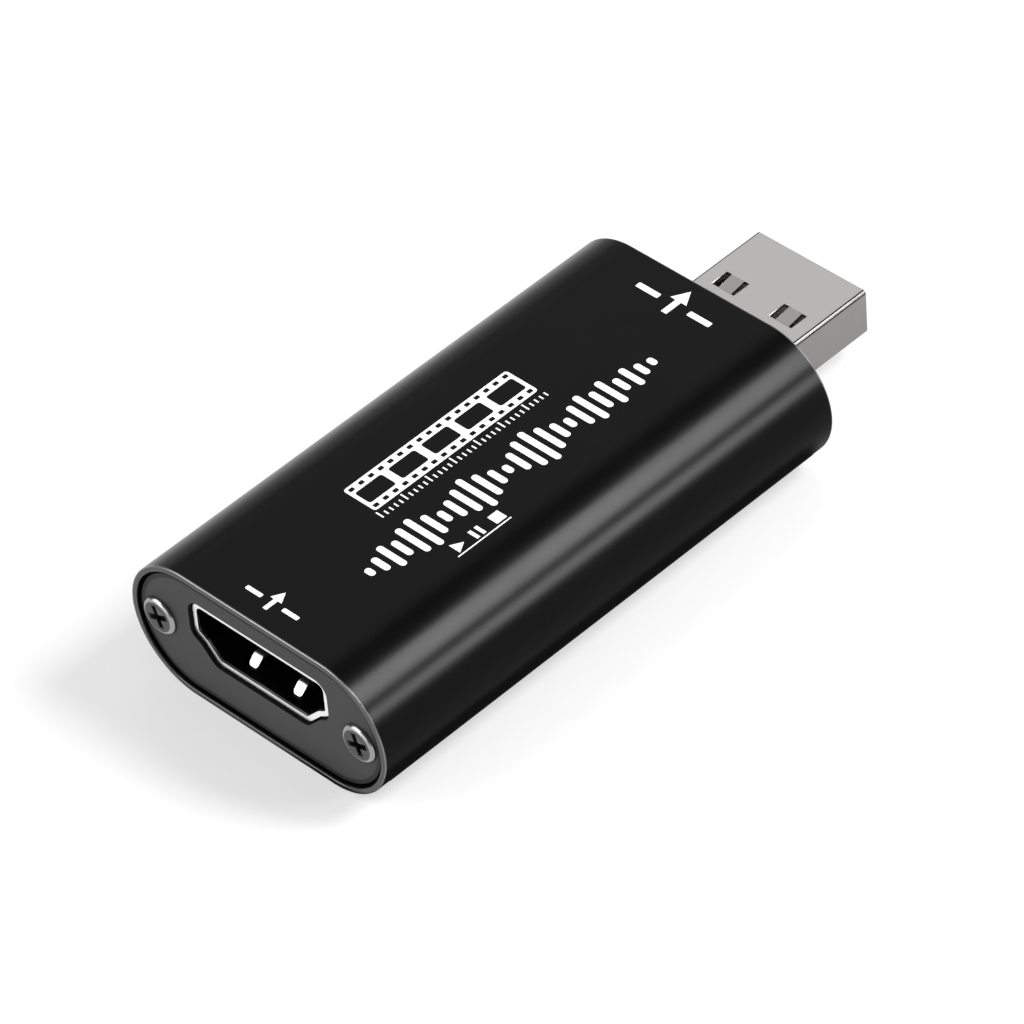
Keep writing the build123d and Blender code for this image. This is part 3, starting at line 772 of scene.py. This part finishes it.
def case_rail(bottom, top):
    """A rail along the case's left inner wall, with its free edges rounded."""
    inner = -board_high.x + RAIL_GRIP
    outer = -CASE_HALF_WIDTH + CASE_WALL
    rail = block((outer, INSIDE_FRONT, bottom), (inner, INSIDE_BACK, top))
    return softened(rail, RAIL_EDGE)


def screw_boss():
    """A bored boss along the case's right inner wall, on its web."""
    boss = rod(BOSS_RADIUS, INSIDE_FRONT, INSIDE_BACK, SCREW_ACROSS, CASE_RADIUS)
    united(boss, block(
        (SCREW_ACROSS, INSIDE_FRONT, CASE_RADIUS - BOSS_RADIUS),
        (CASE_HALF_WIDTH - CASE_WALL, INSIDE_BACK, CASE_RADIUS + BOSS_RADIUS),
    ))
    return cut(boss, rod(
        BOSS_BORE, INSIDE_FRONT - CASE_WALL, INSIDE_BACK + CASE_WALL, SCREW_ACROSS, CASE_RADIUS
    ))


def make_case():
    """The extruded case: a tube with a pocket at each end, two bored bosses and slotted rails."""
    case = oval_bar(0, CASE_FRONT, CASE_BACK)
    with editing(case):
        for end, inwards in ((CASE_FRONT, PLATE_POCKET), (CASE_BACK, -PLATE_POCKET)):
            pick(case, "FACE", at_y(end))
            bpy.ops.mesh.inset(thickness=RIM_THICKNESS)
            bpy.ops.mesh.extrude_region_move(TRANSFORM_OT_translate={"value": (0, inwards, 0)})
            bpy.ops.mesh.inset(thickness=CASE_WALL - RIM_THICKNESS)
        pick(case, "FACE", lambda face: len(face.verts) > 4)
        bpy.ops.mesh.bridge_edge_loops()
        for distance, width in (
            (CASE_RADIUS, RIM_OUTER_BEVEL), (CASE_RADIUS - RIM_THICKNESS, RIM_INNER_BEVEL),
        ):
            pick(case, "EDGE", rim_edges(distance))
            bpy.ops.mesh.bevel(offset=width, segments=3)
    boss = screw_boss()
    slot_top = board_high.z + RAIL_SLOT_GAP
    rails = [
        case_rail(board_low.z - RAIL_THICKNESS, board_low.z),
        case_rail(slot_top, slot_top + RAIL_THICKNESS),
    ]
    inside = [boss, mirrored(boss), *rails, *[mirrored(rail) for rail in rails]]
    joined(case, *inside)
    stand_in(case, "case_shell", "case_metal", "case_tube")


def end_plate(low, high, opening):
    """A plate that fits the case's pocket, with two screw holes and an opening."""
    plate = oval_bar(RIM_THICKNESS + PLATE_GAP, low.y, high.y)
    hole = rod(
        SCREW_SHANK_RADIUS + SCREW_HOLE_GAP, low.y - CASE_WALL, high.y + CASE_WALL, SCREW_ACROSS,
        CASE_RADIUS,
    )
    cut(plate, joined(hole, mirrored(hole), opening))
    return softened(plate, PLATE_EDGE, 3)


def make_input_plate():
    opening = socket_bar(
        SOCKET_LIP + SOCKET_PLATE_GAP, front_plate_low.y - CASE_WALL, front_plate_high.y + CASE_WALL
    )
    plate = end_plate(front_plate_low, front_plate_high, opening)
    stand_in(plate, "input_plate", "plate_metal", "input_end_plate")


def make_output_plate():
    gap = Vector((PLUG_PLATE_GAP, CASE_WALL, PLUG_PLATE_GAP))
    low = Vector((-PLUG_HALF_WIDTH, back_plate_low.y, plug_low.z)) - gap
    high = Vector((PLUG_HALF_WIDTH, back_plate_high.y, plug_high.z)) + gap
    opening = block(low, high)
    with editing(opening):
        round_long_edges(opening, PLUG_RADIUS + PLUG_PLATE_GAP)
    plate = end_plate(back_plate_low, back_plate_high, opening)
    stand_in(plate, "output_plate", "plate_metal", "output_end_plate")


def round_long_edges(piece, radius):
    """Rounds the edges that run along the case."""
    pick(piece, "EDGE", lambda edge: spans(edge, Y))
    bpy.ops.mesh.bevel(offset=radius, segments=PLUG_FOLD_SEGMENTS)


# Screws


def cross_cutter(front):
    """A cross whose four arms narrow from the face of the head to the floor of the recess."""
    floor = front + CROSS_DEPTH
    overrun_share = 2 - CROSS_FLOOR_SHARE
    arms = []
    for width, height in ((CROSS_SPAN, CROSS_SLOT), (CROSS_SLOT, CROSS_SPAN)):
        half = overrun_share * Vector((width, 0, height)) / 2
        arm = block(Vector((0, front - CROSS_DEPTH, 0)) - half, Vector((0, floor, 0)) + half)
        with editing(arm):
            pick(arm, "FACE", at_y(floor))
            narrowing = CROSS_FLOOR_SHARE / overrun_share
            bpy.ops.transform.resize(value=(narrowing, 1, narrowing))
        arms.append(arm)
    return united(*arms)


def plate_screw():
    """One screw along the Y axis: a low rounded head with a cross recess, and its shank."""
    seat = front_plate_low.y
    front = seat - SCREW_HEAD_HEIGHT
    shoulder = seat - SCREW_HEAD_EDGE
    screw = rod(SCREW_HEAD_RADIUS, shoulder, seat, 0, 0)
    rise = SCREW_HEAD_HEIGHT - SCREW_HEAD_EDGE
    run = SCREW_HEAD_RADIUS - SCREW_HEAD_FLAT
    arc_radius = (run ** 2 + rise ** 2) / (2 * rise)
    full_angle = math.asin(run / arc_radius)
    with editing(screw):
        pick(screw, "FACE", at_y(shoulder))
        for ring in range(ROUNDING_RINGS):
            outer, inner = (full_angle * (1 - step / ROUNDING_RINGS) for step in (ring, ring + 1))
            inwards = arc_radius * (math.sin(outer) - math.sin(inner))
            upwards = arc_radius * (math.cos(inner) - math.cos(outer))
            bpy.ops.mesh.inset(thickness=inwards, depth=upwards)
    cut(screw, cross_cutter(front))
    softened(screw, CROSS_EDGE, angle=CROSS_EDGE_ANGLE)
    shank = rod(SCREW_SHANK_RADIUS, seat, seat + SCREW_REACH, 0, 0)
    with editing(shank):
        pick(shank, "FACE", at_y(seat + SCREW_REACH))
        bpy.ops.mesh.bevel(offset=SCREW_TIP_BEVEL, segments=1)
    return joined(screw, shank)


def screw_pair(model, face, turn, angles):
    """Two copies of a screw on one plate's face, each turned by its own angle about its axis."""
    screws = []
    for side, angle in zip((-1, 1), angles):
        screw = copied(model, Matrix.Translation((0, -front_plate_low.y, 0)))
        spin = Matrix.Rotation(math.radians(angle), 4, "Y")
        place = Matrix.Translation((side * SCREW_ACROSS, face, CASE_RADIUS))
        screw.data.transform(place @ turn @ spin)
        screws.append(screw)
    return joined(*screws)


def make_screws():
    """Four screws, turned as they stop when they are driven home."""
    model = plate_screw()
    inputs = screw_pair(model, front_plate_low.y, Matrix.Identity(4), INPUT_SCREW_ANGLES)
    stand_in(inputs, "input_screws", "screw_steel", "input_plate_screws")
    half_turn = Matrix.Rotation(math.pi, 4, "Z")
    outputs = screw_pair(model, back_plate_high.y, half_turn, OUTPUT_SCREW_ANGLES)
    stand_in(outputs, "output_screws", "screw_steel", "output_plate_screws")
    bpy.data.objects.remove(model)


# Video socket


def socket_corners(growth):
    """Right-hand corners of the socket's outline, grown by a distance, and how far each is cut."""
    half = SOCKET_HALF_WIDTH
    corners = [
        Vector((half, SOCKET_TOP)),
        Vector((half, SOCKET_SHOULDER)),
        Vector((half - SOCKET_STEP_INSET, SOCKET_STEP)),
        Vector((half - SOCKET_FLOOR_INSET, SOCKET_FLOOR)),
    ]
    earlier = [Vector((-half, SOCKET_TOP))] + corners[:-1]
    later = corners[1:] + [Vector((SOCKET_FLOOR_INSET - half, SOCKET_FLOOR))]
    grown = []
    for before, corner, after, radius in zip(earlier, corners, later, SOCKET_RADII):
        arriving, leaving = (corner - before).normalized(), (after - corner).normalized()
        outwards = [Vector((-edge.y, edge.x)) for edge in (arriving, leaving)]
        shift = growth * (outwards[0] + outwards[1]) / (1 + outwards[0].dot(outwards[1]))
        convex = arriving.cross(leaving) < 0
        grown_radius = radius + growth if convex else radius - growth
        grown.append((corner + shift, grown_radius * math.tan(arriving.angle(leaving) / 2)))
    return grown


def socket_bar(growth, front, back):
    """A bar with the socket's outline: a block, drawn down in two narrowing steps, rounded."""
    corners = socket_corners(growth)
    top, shoulder = corners[0][0], corners[1][0]
    bar = block((-top.x, front, shoulder.y), (top.x, back, top.y))
    with editing(bar):
        for (above, _), (below, _) in zip(corners[1:], corners[2:]):
            pick(bar, "FACE", lambda face: same(face.calc_center_median().z, above.y))
            drop = (0, 0, below.y - above.y)
            bpy.ops.mesh.extrude_region_move(TRANSFORM_OT_translate={"value": drop})
            bpy.ops.transform.resize(value=(below.x / above.x, 1, 1))
        for corner, reach in corners:
            pick(
                bar, "EDGE",
                lambda edge: spans(edge, Y) and lies_at(edge, Z, corner.y)
                and all(same(abs(vertex.co.x), corner.x) for vertex in edge.verts),
            )
            bpy.ops.mesh.bevel(offset=reach, segments=CORNER_SEGMENTS)
    return bar


def finger_lift(y):
    """How high a finger stands at a place along it: up a steep ramp, round a crest, slowly down."""
    crest = FINGER_CREST_SHARE * FINGER_LENGTH
    up = (y - FINGER_SLIT) / (crest - FINGER_SLIT)
    down = (FINGER_LENGTH - y) / (FINGER_LENGTH - crest)
    return FINGER_CREST * (up + down - math.hypot(up - down, FINGER_BEND_SHARE)) / 2


def spring_finger():
    """A bent strip along Y on the plane Z = 0, one sheet thick, its crest near its round end."""
    finger = block(
        (-FINGER_WIDTH / 2, FINGER_SLIT, -SOCKET_SHEET), (FINGER_WIDTH / 2, FINGER_LENGTH, 0)
    )
    with editing(finger):
        pick(finger, "EDGE", lambda edge: lies_at(edge, Y, FINGER_SLIT) and spans(edge, Z))
        bpy.ops.mesh.bevel(offset=FINGER_ROUNDING, segments=CORNER_SEGMENTS)
        for slice_number in range(1, FINGER_SLICES):
            bpy.ops.mesh.select_all(action="SELECT")
            y = FINGER_SLIT + (FINGER_LENGTH - FINGER_SLIT) * slice_number / FINGER_SLICES
            bpy.ops.mesh.bisect(plane_co=(0, y, 0), plane_no=(0, 1, 0))
        vertices = bmesh.from_edit_mesh(finger.data).verts
        for y in sorted({round(vertex.co.y, 7) for vertex in vertices}):
            pick(finger, "VERT", lambda vertex: abs(vertex.co.y - y) < NEAR / 10)
            bpy.ops.transform.translate(value=(0, 0, finger_lift(y)))
    return softened(finger, SOCKET_EDGE)


def finger_walls():
    """Planes that the six fingers lie on: the socket's floor, top and two sides."""
    front = shell_low.y + FINGER_SETBACK
    walls = []
    for side in (-1, 1):
        x = side * FINGER_ACROSS
        walls.append(Matrix.Translation((x, front, SOCKET_FLOOR)))
        walls.append(Matrix.Translation((x, front, SOCKET_TOP)) @ Matrix.Rotation(math.pi, 4, "Y"))
        side_place = Matrix.Translation((side * SOCKET_HALF_WIDTH, front, SIDE_FINGER_HEIGHT))
        walls.append(side_place @ Matrix.Rotation(-side * QUARTER_TURN, 4, "Y"))
    return walls


def at_walls(piece):
    """Copies of a piece, one for each spring finger's place."""
    copies = [copied(piece, wall) for wall in finger_walls()]
    bpy.data.objects.remove(piece)
    return joined(*copies)


def socket_leg(side, setback):
    x = side * (SOCKET_HALF_WIDTH + SOCKET_SHEET / 2)
    y = shell_low.y + setback
    half = Vector((SOCKET_SHEET, LEG_WIDTH, 0)) / 2
    leg = block(Vector((x, y, shell_low.z)) - half, Vector((x, y, SOCKET_SHOULDER)) + half)
    return softened(leg, SOCKET_EDGE)


def make_socket_shell():
    """The formed metal shell: lip, stepped walls, six slots for spring fingers, four legs."""
    front, back = shell_low.y, shell_high.y
    shell = softened(socket_bar(SOCKET_LIP, front, front + SOCKET_LIP_DEPTH), SOCKET_EDGE, 1)
    united(shell, socket_bar(SOCKET_SHEET, front + SOCKET_LIP_DEPTH / 2, back))
    cut(shell, socket_bar(0, front - OVERRUN, back + OVERRUN))
    slit = FINGER_WIDTH / 2 + FINGER_SLIT
    cut(shell, at_walls(block((-slit, 0, -OVERRUN), (slit, FINGER_LENGTH, OVERRUN / 2))))
    legs = [socket_leg(side, setback) for side in (-1, 1) for setback in LEG_SETBACKS]
    joined(shell, *legs)
    stand_in(shell, "video_socket_shell", "socket_steel", "socket_shell")


def make_spring_fingers():
    fingers = at_walls(spring_finger())
    stand_in(fingers, "video_socket_fingers", "socket_steel", "socket_shell", "spring_finger_steel")


def make_socket_housing():
    """The moulded block in the back of the shell, with its bevelled tongue."""
    front = housing_high.y - HOUSING_DEPTH
    housing = socket_bar(-HOUSING_GAP, front, housing_high.y)
    tongue = block(
        (-TONGUE_HALF_WIDTH, housing_low.y, TONGUE_BOTTOM), (TONGUE_HALF_WIDTH, front, TONGUE_TOP)
    )
    with editing(tongue):
        pick(tongue, "EDGE", lambda edge: lies_at(edge, Y, housing_low.y) and not spans(edge, Z))
        bpy.ops.mesh.bevel(offset=TONGUE_NOSE, segments=3)
    softened(tongue, SOCKET_EDGE)
    joined(softened(housing, SOCKET_EDGE), tongue)
    stand_in(housing, "video_socket_tongue", "black_plastic", "socket_housing")


# Host plug


def window_tab(side):
    """A spring tab of the plug's upper side, bent down into its window from the far edge."""
    x = side * WINDOW_ACROSS
    half = TAB_WIDTH / 2
    top = plug_high.z
    tip = WINDOW_FRONT + TAB_GAP
    tab = block((x - half, tip, top - PLUG_SHEET), (x + half, WINDOW_BACK, top))
    with editing(tab):
        pick(tab, "FACE", at_y(tip))
        bpy.ops.transform.translate(value=(0, 0, -TAB_DROP))
    return softened(tab, PLUG_EDGE)


def plug_openings():
    """Blocks through the plug's windows, above and below, and one through the seam below."""
    windows = [
        block(
            (side * WINDOW_ACROSS - WINDOW_WIDTH / 2, WINDOW_FRONT, plug_low.z - OVERRUN),
            (side * WINDOW_ACROSS + WINDOW_WIDTH / 2, WINDOW_BACK, plug_high.z + OVERRUN),
        )
        for side in (-1, 1)
    ]
    seam = block(
        (-SEAM_WIDTH / 2, plug_low.y - OVERRUN, plug_low.z - OVERRUN),
        (SEAM_WIDTH / 2, plug_high.y + OVERRUN, plug_low.z + OVERRUN),
    )
    return joined(*windows), seam


def plug_wing(side, setback):
    """A wing of sheet on the board, beside the back of the plug."""
    inner, outer = sorted((side * PLUG_HALF_WIDTH, side * plug_high.x))
    middle = plug_low.y + setback
    wing = block(
        (inner, middle - WING_LENGTH / 2, board_high.z),
        (outer, middle + WING_LENGTH / 2, board_high.z + PLUG_SHEET),
    )
    return softened(wing, PLUG_EDGE)


def make_plug_shell():
    """The folded shell: a tube of sheet with four windows, two tabs, a seam and four wings."""
    shell = block(
        (-PLUG_HALF_WIDTH, plug_low.y, plug_low.z), (PLUG_HALF_WIDTH, plug_high.y, plug_high.z)
    )
    with editing(shell):
        round_long_edges(shell, PLUG_RADIUS)
        pick(shell, "FACE", lambda face: abs(face.normal.y) > FACING)
        bpy.ops.mesh.delete(type="ONLY_FACE")
    modified(shell, "SOLIDIFY", thickness=PLUG_SHEET, offset=-1, use_even_offset=True)
    for opening in plug_openings():
        cut(shell, opening)
    softened(shell, PLUG_EDGE)
    wings = [plug_wing(side, setback) for side in (-1, 1) for setback in WING_SETBACKS]
    joined(shell, *[window_tab(side) for side in (-1, 1)], *wings)
    stand_in(shell, "host_plug_shell", "plug_steel", "plug_shell")


def make_plug_carrier():
    """The moulded tongue that carries the plug's contacts, and the block behind it."""
    tongue = block(
        (carrier_low.x, CARRIER_BLOCK_FRONT - OVERRUN, carrier_low.z),
        (carrier_high.x, carrier_high.y, CARRIER_TONGUE_TOP),
    )
    rear = block(carrier_low, (carrier_high.x, CARRIER_BLOCK_FRONT, carrier_high.z))
    joined(softened(tongue, CARRIER_EDGE, 3), softened(rear, CARRIER_EDGE, 3))
    stand_in(tongue, "host_plug_carrier", "black_plastic", "plug_carrier", "plug_resin")


# Printed marks on the top


def ink_bar(x, s, width, length, rounding=0.0, thickness=INK_THICKNESS):
    """A printed bar, in millimetres: x is across, and s along from the socket end of the case."""
    middle = Vector((x * MM, CASE_FRONT + s * MM, CASE_TOP + INK_THICKNESS / 2))
    half = Vector((width * MM, length * MM, thickness)) / 2
    bar = block(middle - half, middle + half)
    if rounding:
        with editing(bar):
            pick(bar, "EDGE", lambda edge: spans(edge, Z))
            bpy.ops.mesh.bevel(offset=rounding * MM, segments=INK_CORNER_SEGMENTS)
    return bar


def ink_triangle(x, s, reach):
    """A printed triangle that points along +Y."""
    bpy.ops.mesh.primitive_cylinder_add(
        vertices=3, radius=reach * MM, depth=INK_THICKNESS,
        location=(x * MM, CASE_FRONT + s * MM, CASE_TOP + INK_THICKNESS / 2),
    )
    return settled(bpy.context.active_object)


def printed(name, parts):
    dressed(joined(*parts), name, PRINT_INK)


def flow_arrow(name, s, scale):
    """An arrow from the socket towards the plug, between two short bars."""
    stroke = 0.42 * scale
    stem_place, stem_length = s - 0.45 * scale, 1.25 * scale
    head_place, head_reach = s + 0.54 * scale, 0.72 * scale
    bar_across, bar_place = 2.0 * scale, s - 0.2 * scale
    bar_width, bar_rounding = 1.7 * scale, 0.1
    printed(name, [
        ink_bar(0, stem_place, stroke, stem_length),
        ink_triangle(0, head_place, head_reach),
        *[ink_bar(x, bar_place, bar_width, stroke, bar_rounding) for x in (-bar_across, bar_across)],
    ])


def film_holes(x, s, length, count, width, hole_length, rounding):
    """A row of holes, spread evenly over a length of the film."""
    places = [s + (step - (count - 1) / 2) * length / count for step in range(count)]
    return [ink_bar(x, place, width, hole_length, rounding, HOLE_THICKNESS) for place in places]


def film_strip():
    """A strip of film: five frames with a row of small holes along both edges."""
    x, s, width, length, rounding = -3.05, 24.2, 3.6, 18.4, 0.3
    frames = {"count": 5, "width": 1.75, "hole_length": 2.95, "rounding": 0.25}
    edge_holes = {"count": 17, "width": 0.42, "hole_length": 0.52, "rounding": 0.08}
    edge_across = 1.36
    holes = film_holes(x, s, length, **frames)
    for side in (-1, 1):
        holes += film_holes(x + side * edge_across, s, length, **edge_holes)
    strip = ink_bar(x, s, width, length, rounding)
    cut(strip, joined(*holes))
    printed("printed_film_strip", [strip])


def scale_marks():
    """A fine scale beside the film strip, every fifth line longer."""
    right_end, start, spacing, stroke = -0.22, 14.9, 0.545, 0.14
    line_count, group, short, long = 35, 5, 0.5, 0.85
    lines = []
    for step in range(line_count):
        length = short if step % group else long
        lines.append(ink_bar(right_end - length / 2, start + step * spacing, length, stroke))
    printed("printed_scale", lines)


def level_bars():
    """A row of sound levels: round-ended bars about one middle line."""
    x, start, spacing, bar_length, rounding = 3.35, 9.8, 1.18, 0.62, 0.3
    heights = (
        1.0, 1.9, 3.1, 2.2, 3.7, 4.2, 2.8, 1.5, 2.4, 3.4, 4.4, 3.2, 2.0, 1.1, 2.6, 3.9, 4.6, 3.3,
        2.1, 1.3, 2.9, 3.8, 2.5, 3.5, 1.8, 2.7, 1.6, 1.0,
    )
    bars = []
    for step, height in enumerate(heights):
        bars.append(ink_bar(x, start + step * spacing, height, bar_length, rounding))
    printed("printed_level_bars", bars)


def control_marks():
    """Small signs for play, pause and stop over a thin line."""
    x, width = 6.55, 1.1
    play_place, play_reach = 16.2, 0.72
    pause_places, pause_stroke = (18.0, 18.7), 0.34
    stop_place = 20.6
    line_x, line_place, line_stroke, line_length = 7.4, 18.35, 0.12, 5.9
    printed("printed_controls", [
        ink_triangle(x, play_place, play_reach),
        *[ink_bar(x, place, width, pause_stroke) for place in pause_places],
        ink_bar(x, stop_place, width, width),
        ink_bar(line_x, line_place, line_stroke, line_length),
    ])


# Stage, lights and camera


def floor_finish():
    """A pale floor, clear from below. In mirrors it is dark beside the part, darkest under it and
    white before its socket end. The camera sees it with some white, so that shadows stay light."""
    finish = Finish("floor")
    x, y = finish.along(X), finish.along(Y)
    beside = finish.between(x, 0, CASE_RADIUS)
    beside = beside * finish.between(y, CASE_FRONT - CASE_RADIUS, CASE_FRONT)
    under = finish.between(x, CASE_HALF_WIDTH + UNDER_END, CASE_HALF_WIDTH + UNDER_REACH)
    under = under * finish.between(y, CASE_BACK + UNDER_FADE, CASE_BACK)
    before = finish.between(y, CASE_FRONT - BEFORE_START, CASE_FRONT - BEFORE_FULL)
    mirrored_rays = finish.node("LightPath", output="Is Glossy Ray")
    camera_rays = finish.node("LightPath", output="Is Camera Ray")
    pale, dark, darkest = (
        finish.node("BsdfDiffuse", None, {"Color": colour(level)}) for level in FLOOR_LEVELS
    )
    white = finish.node("Emission", None, {"Color": colour(1.0), "Strength": 1.0})
    shade = finish.blended(mirrored_rays * beside, pale, finish.blended(under, dark, darkest))
    shade = finish.blended(mirrored_rays * before, shade, white)
    shade = finish.blended(FLOOR_WHITE_SHARE * camera_rays, shade, white)
    below = finish.node("NewGeometry", output="Backfacing")
    shown = finish.blended(below, shade, finish.node("BsdfTransparent"))
    finish.node("OutputMaterial", None, {"Surface": shown})
    return finish.material


def make_floor():
    bpy.ops.mesh.primitive_plane_add(size=6, location=(0, 0, -FLOOR_DROP))
    floor = bpy.context.active_object
    floor.name = "floor"
    floor.data.materials.append(floor_finish())


def make_world():
    """Pale for the camera, dim for the light on the part and darker still in its mirrors."""
    world = bpy.data.worlds.new("backdrop")
    bpy.context.scene.world = world
    nodes = Nodes(world)
    level = WORLD_LEVEL
    for rays, ray_level in (
        ("Is Glossy Ray", WORLD_MIRRORED_LEVEL), ("Is Camera Ray", WORLD_SEEN_LEVEL),
    ):
        inputs = {0: nodes.node("LightPath", output=rays), 2: level, 3: ray_level}
        level = nodes.node("Mix", {"data_type": "FLOAT"}, inputs)
    background = nodes.node("Background", None, {"Strength": level})
    nodes.node("OutputWorld", None, {"Surface": background})


def placed(thing, place, sideways, upwards, outwards):
    """Puts a lamp or camera at a place, turned to three axes."""
    bpy.context.scene.collection.objects.link(thing)
    turn = Matrix((sideways, upwards, outwards)).transposed().to_4x4()
    thing.matrix_world = Matrix.Translation(place) @ turn


def softbox(name, direction, width, length, brightness, long_axis=(0, 1, 0)):
    """A soft light panel that faces the part, as bright in a mirror as brightness says."""
    lamp = bpy.data.lights.new(name, "AREA")
    lamp.shape = "RECTANGLE"
    lamp.size, lamp.size_y = width, length
    lamp.energy = brightness * math.pi * width * length
    panel = bpy.data.objects.new(name, lamp)
    outwards = Vector(direction).normalized()
    sideways = Vector(long_axis).cross(outwards).normalized()
    place = Vector((0, 0, CASE_RADIUS)) + outwards * LAMP_DISTANCE
    placed(panel, place, sideways, outwards.cross(sideways), outwards)
    panel.visible_camera = False


def across_view(angle):
    """Direction whose mirror image the camera sees in a face turned by half that angle."""
    turn = math.radians(angle)
    return (
        MIRROR_ACROSS_SHARE * math.sin(turn), MIRROR_ALONG_SHARE,
        MIRROR_ACROSS_SHARE * math.cos(turn),
    )


def make_lights():
    """Two bright strips for the right flank, two dim panels for the left, two for the front."""
    for name, direction, width, length, brightness, *long_axis in (
        ("strip_high", across_view(34), 0.26, 0.18, 22.0),
        ("strip_low", across_view(68), 0.12, 0.18, 19.0),
        ("panel_left", (-0.543, 0.5, 0.68), 0.36, 0.42, 0.58),
        ("panel_left_low", across_view(-79), 0.27, 0.42, 0.62),
        ("key_front", (-0.5, -0.72, 0.41), 0.62, 0.45, 2.9, (1, 0, 0)),
        ("fill_front", (-0.1, -0.98, 0.12), 0.3, 0.5, 2.0, (1, 0, 0)),
    ):
        softbox(name, direction, width, length, brightness, *long_axis)


def make_camera():
    """The photograph's viewing angle, from a long lens."""
    azimuth, elevation, roll = (math.radians(angle) for angle in CAMERA_ANGLES)
    back = Vector((
        math.sin(azimuth) * math.cos(elevation),
        -math.cos(azimuth) * math.cos(elevation),
        math.sin(elevation),
    ))
    right = Vector((math.cos(azimuth), math.sin(azimuth), 0))
    up = back.cross(right)
    rolled_right = math.cos(roll) * right + math.sin(roll) * up
    rolled_up = math.cos(roll) * up - math.sin(roll) * right
    lens = bpy.data.cameras.new("camera")
    lens.lens = CAMERA_LENS
    lens.clip_start = 10 * MM
    camera = bpy.data.objects.new("camera", lens)
    placed(camera, CAMERA_TARGET + back * CAMERA_DISTANCE, rolled_right, rolled_up, back)
    bpy.context.scene.camera = camera


def finish_nodes():
    """Gives each CAD node the finish of its slot in the record."""
    for entry in frame["record"]["subparts"]:
        node = frame["nodes"][entry["node"]]
        node.data.materials.clear()
        node.data.materials.append(FINISHES[entry["material_slot"]])


finish_nodes()
make_case()
make_input_plate()
make_output_plate()
make_screws()
make_socket_shell()
make_spring_fingers()
make_socket_housing()
make_plug_shell()
make_plug_carrier()
flow_arrow("printed_input_arrow", 2.7, 1.0)
flow_arrow("printed_output_arrow", 48.1, 1.4)
film_strip()
scale_marks()
level_bars()
control_marks()
make_floor()
make_world()
make_lights()
make_camera()
bpy.context.scene.view_settings.view_transform = "Standard"
